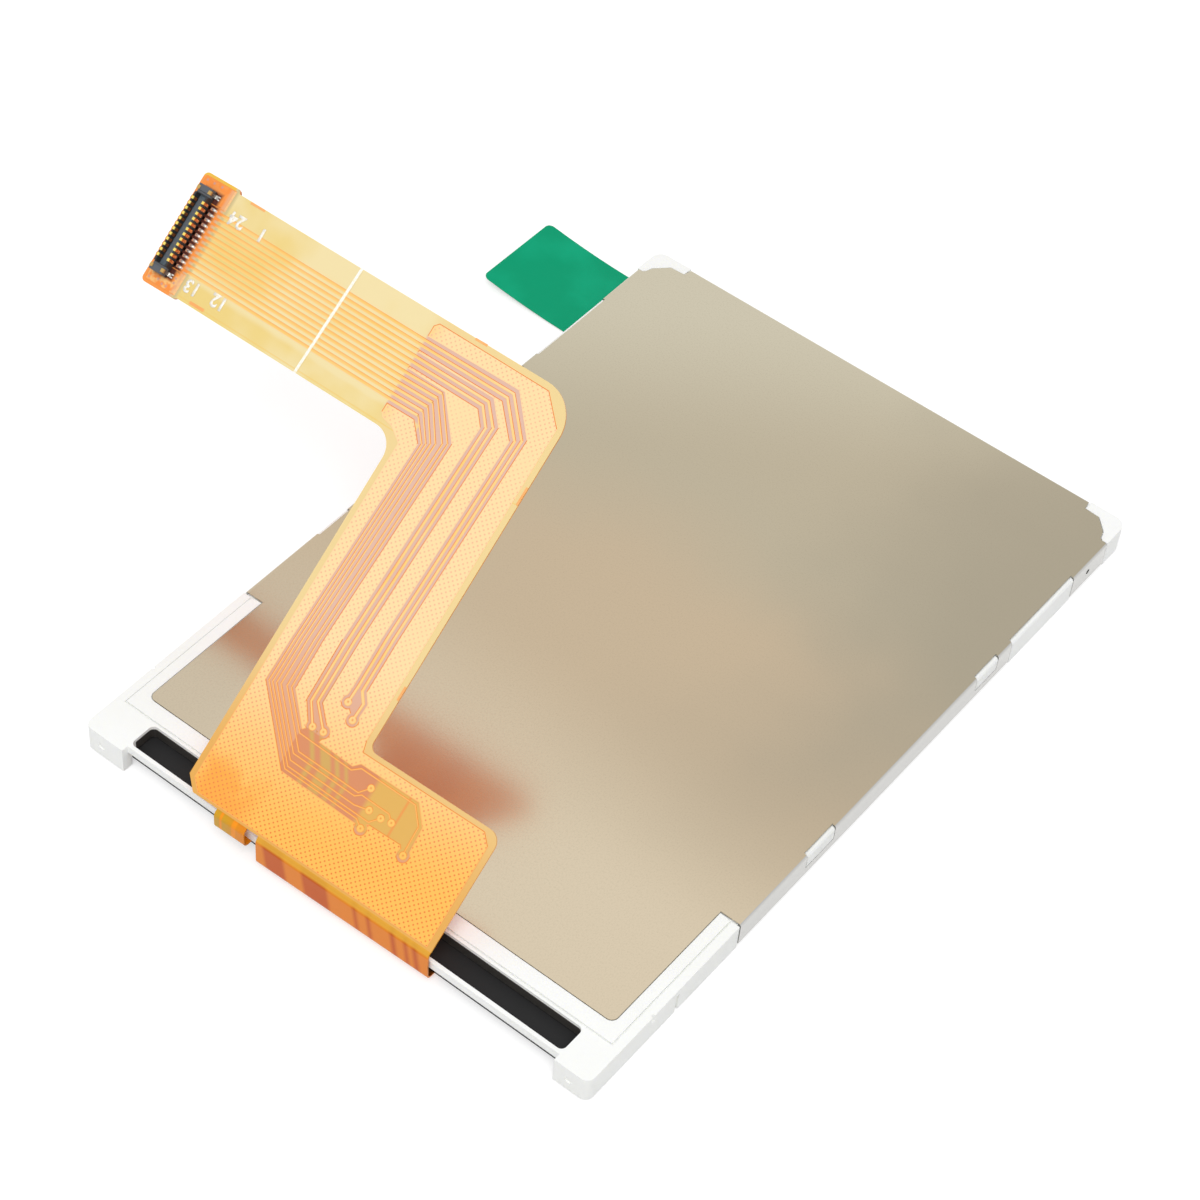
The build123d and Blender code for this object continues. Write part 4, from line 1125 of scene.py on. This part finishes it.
class OBJECT_OT_lcd_front_film(bpy.types.Operator):
    """Finish the clear front film and its green pull tab."""

    bl_idname = "object.lcd_front_film"
    bl_label = "Front Film Finish"

    def execute(self, context):
        colours = context.scene.lcd_body
        film, shader = plain_finish("clear_film", srgb(226, 236, 244), srgb(240, 246, 250), 0.08, 700.0)
        shader.inputs["Alpha"].default_value = 0.3
        wear("protective_film", film)

        tab, tree, shader = start_finish("green_tape", 0.35)
        clouds = use_group(tree, "Clouds", Cloud_Scale=240.0, Grain_Scale=6000.0)
        tone = mix(tree, ramp(tree, clouds["Clouds"], 0.4, 0.75), colours.tab, srgb(8, 166, 122))
        tree.links.new(tone, shader.inputs["Base Color"])
        bump(tree, shader, clouds["Clouds"], 0.00008)
        shader.inputs["Specular IOR Level"].default_value = 0.1
        wear("pull_tab", tab)
        return {"FINISHED"}


# Stage


def seen_mask(tree):
    """Mask of the rays that look at the background: straight, by a reflection or through glass."""
    path = tree.nodes.new("ShaderNodeLightPath").outputs
    return either(tree, path["Is Camera Ray"], path["Is Glossy Ray"], path["Is Transmission Ray"])


def set_world():
    """Even white world that shows as white and lights the module softly."""
    world = bpy.data.worlds.new("soft_white")
    bpy.context.scene.world = world
    world.use_nodes = True
    tree = world.node_tree
    tree.nodes.clear()
    level = tree.nodes.new("ShaderNodeBackground")
    level.inputs["Color"].default_value = (1.0, 1.0, 1.0, 1.0)
    strength = calc(tree, "ADD", calc(tree, "MULTIPLY", seen_mask(tree), 1.0 - ROOM_LIGHT), ROOM_LIGHT)
    tree.links.new(strength, level.inputs["Strength"])
    out = tree.nodes.new("ShaderNodeOutputWorld")
    tree.links.new(level.outputs[0], out.inputs["Surface"])


def add_softbox(name, spot, target, size, power):
    """Square area lamp that looks from a spot at a target."""
    lamp = bpy.data.lights.new(name, "AREA")
    lamp.shape = "SQUARE"
    lamp.size = size
    lamp.energy = power
    holder = bpy.data.objects.new(name, lamp)
    holder.location = spot
    holder.rotation_mode = "QUATERNION"
    holder.rotation_quaternion = (Vector(target) - Vector(spot)).to_track_quat("-Z", "Y")
    bpy.context.scene.collection.objects.link(holder)


def lay_floor(width):
    """Plain white floor under the module, which keeps a faint shadow."""
    ground = bmesh.new()
    bmesh.ops.create_grid(ground, x_segments=1, y_segments=1, size=width / 2)
    mesh = bpy.data.meshes.new("floor")
    ground.to_mesh(mesh)
    ground.free()
    floor = bpy.data.objects.new("floor", mesh)
    floor.location.z = -0.02 * MM
    bpy.context.scene.collection.objects.link(floor)
    material = bpy.data.materials.new("floor_white")
    material.use_nodes = True
    tree = material.node_tree
    tree.nodes.clear()
    paper = tree.nodes.new("ShaderNodeBsdfDiffuse")
    paper.inputs["Color"].default_value = (FLOOR_GREY, FLOOR_GREY, FLOOR_GREY, 1.0)
    glow = tree.nodes.new("ShaderNodeEmission")
    tree.links.new(calc(tree, "MULTIPLY", seen_mask(tree), FLOOR_GLOW), glow.inputs["Strength"])
    total = tree.nodes.new("ShaderNodeAddShader")
    tree.links.new(paper.outputs[0], total.inputs[0])
    tree.links.new(glow.outputs[0], total.inputs[1])
    out = tree.nodes.new("ShaderNodeOutputMaterial")
    tree.links.new(total.outputs[0], out.inputs["Surface"])
    mesh.materials.append(material)


def set_camera(sizes):
    """Camera at the photograph's viewing angle."""
    azimuth = sizes.azimuth
    elevation = sizes.elevation
    back = Vector((sin(azimuth) * cos(elevation), -cos(azimuth) * cos(elevation), sin(elevation)))
    right = Vector((cos(azimuth), sin(azimuth), 0))
    view = Matrix((right, back.cross(right), back)).transposed().to_4x4()
    camera = bpy.data.objects.new("camera", bpy.data.cameras.new("camera"))
    camera.data.lens = sizes.lens
    camera.data.clip_start = 5 * MM
    camera.data.clip_end = 20
    camera.matrix_world = (
        Matrix.Translation(CAMERA_TARGET + back * sizes.distance) @ view
        @ Matrix.Rotation(sizes.roll, 4, "Z")
    )
    bpy.context.scene.collection.objects.link(camera)
    bpy.context.scene.camera = camera


class SCENE_OT_lcd_stage(bpy.types.Operator):
    """Set the floor, the soft light and the camera."""

    bl_idname = "scene.lcd_stage"
    bl_label = "Stage"

    def execute(self, context):
        context.scene.view_settings.view_transform = "Standard"
        sizes = context.scene.lcd_stage
        set_world()
        lay_floor(sizes.floor)
        set_camera(sizes)
        add_softbox("key_light", KEY_SPOT, (0, 0, 0), KEY_WIDTH, KEY_POWER)
        return {"FINISHED"}


class VIEW3D_PT_lcd(bpy.types.Panel):
    """Sidebar panel that shows the module's settings and a button for each step."""

    bl_label = "Display Module"
    bl_idname = "VIEW3D_PT_lcd"
    bl_space_type = "VIEW_3D"
    bl_region_type = "UI"
    bl_category = "Display"

    def draw(self, context):
        layout = self.layout
        scene = context.scene
        for group in (scene.lcd_film, scene.lcd_print, scene.lcd_body, scene.lcd_stage):
            box = layout.box()
            for name in group.__annotations__:
                box.prop(group, name)
        for operator in STEPS:
            layout.operator(operator.bl_idname)


GROUPS = {
    "lcd_film": FilmColours,
    "lcd_print": PrintSizes,
    "lcd_body": BodyColours,
    "lcd_stage": StageSizes,
}
STEPS = (
    SCENE_OT_lcd_stage,
    OBJECT_OT_lcd_film,
    OBJECT_OT_lcd_copper,
    OBJECT_OT_lcd_print,
    OBJECT_OT_lcd_ears,
    OBJECT_OT_lcd_connector,
    OBJECT_OT_lcd_plate,
    OBJECT_OT_lcd_frame,
    OBJECT_OT_lcd_panel,
    OBJECT_OT_lcd_backlight,
    OBJECT_OT_lcd_front_film,
)


def register():
    for group in GROUPS.values():
        bpy.utils.register_class(group)
    for name, group in GROUPS.items():
        setattr(bpy.types.Scene, name, PointerProperty(type=group))
    for step in STEPS:
        bpy.utils.register_class(step)
    bpy.utils.register_class(VIEW3D_PT_lcd)


def unregister():
    bpy.utils.unregister_class(VIEW3D_PT_lcd)
    for step in reversed(STEPS):
        bpy.utils.unregister_class(step)
    for name, group in GROUPS.items():
        delattr(bpy.types.Scene, name)
        bpy.utils.unregister_class(group)


def main():
    register()
    make_sheet_place()
    make_patch()
    make_mesh_dots()
    make_clouds()
    for step in STEPS:
        family, name = step.bl_idname.split(".")
        getattr(getattr(bpy.ops, family), name)()


if __name__ == "__main__":
    main()
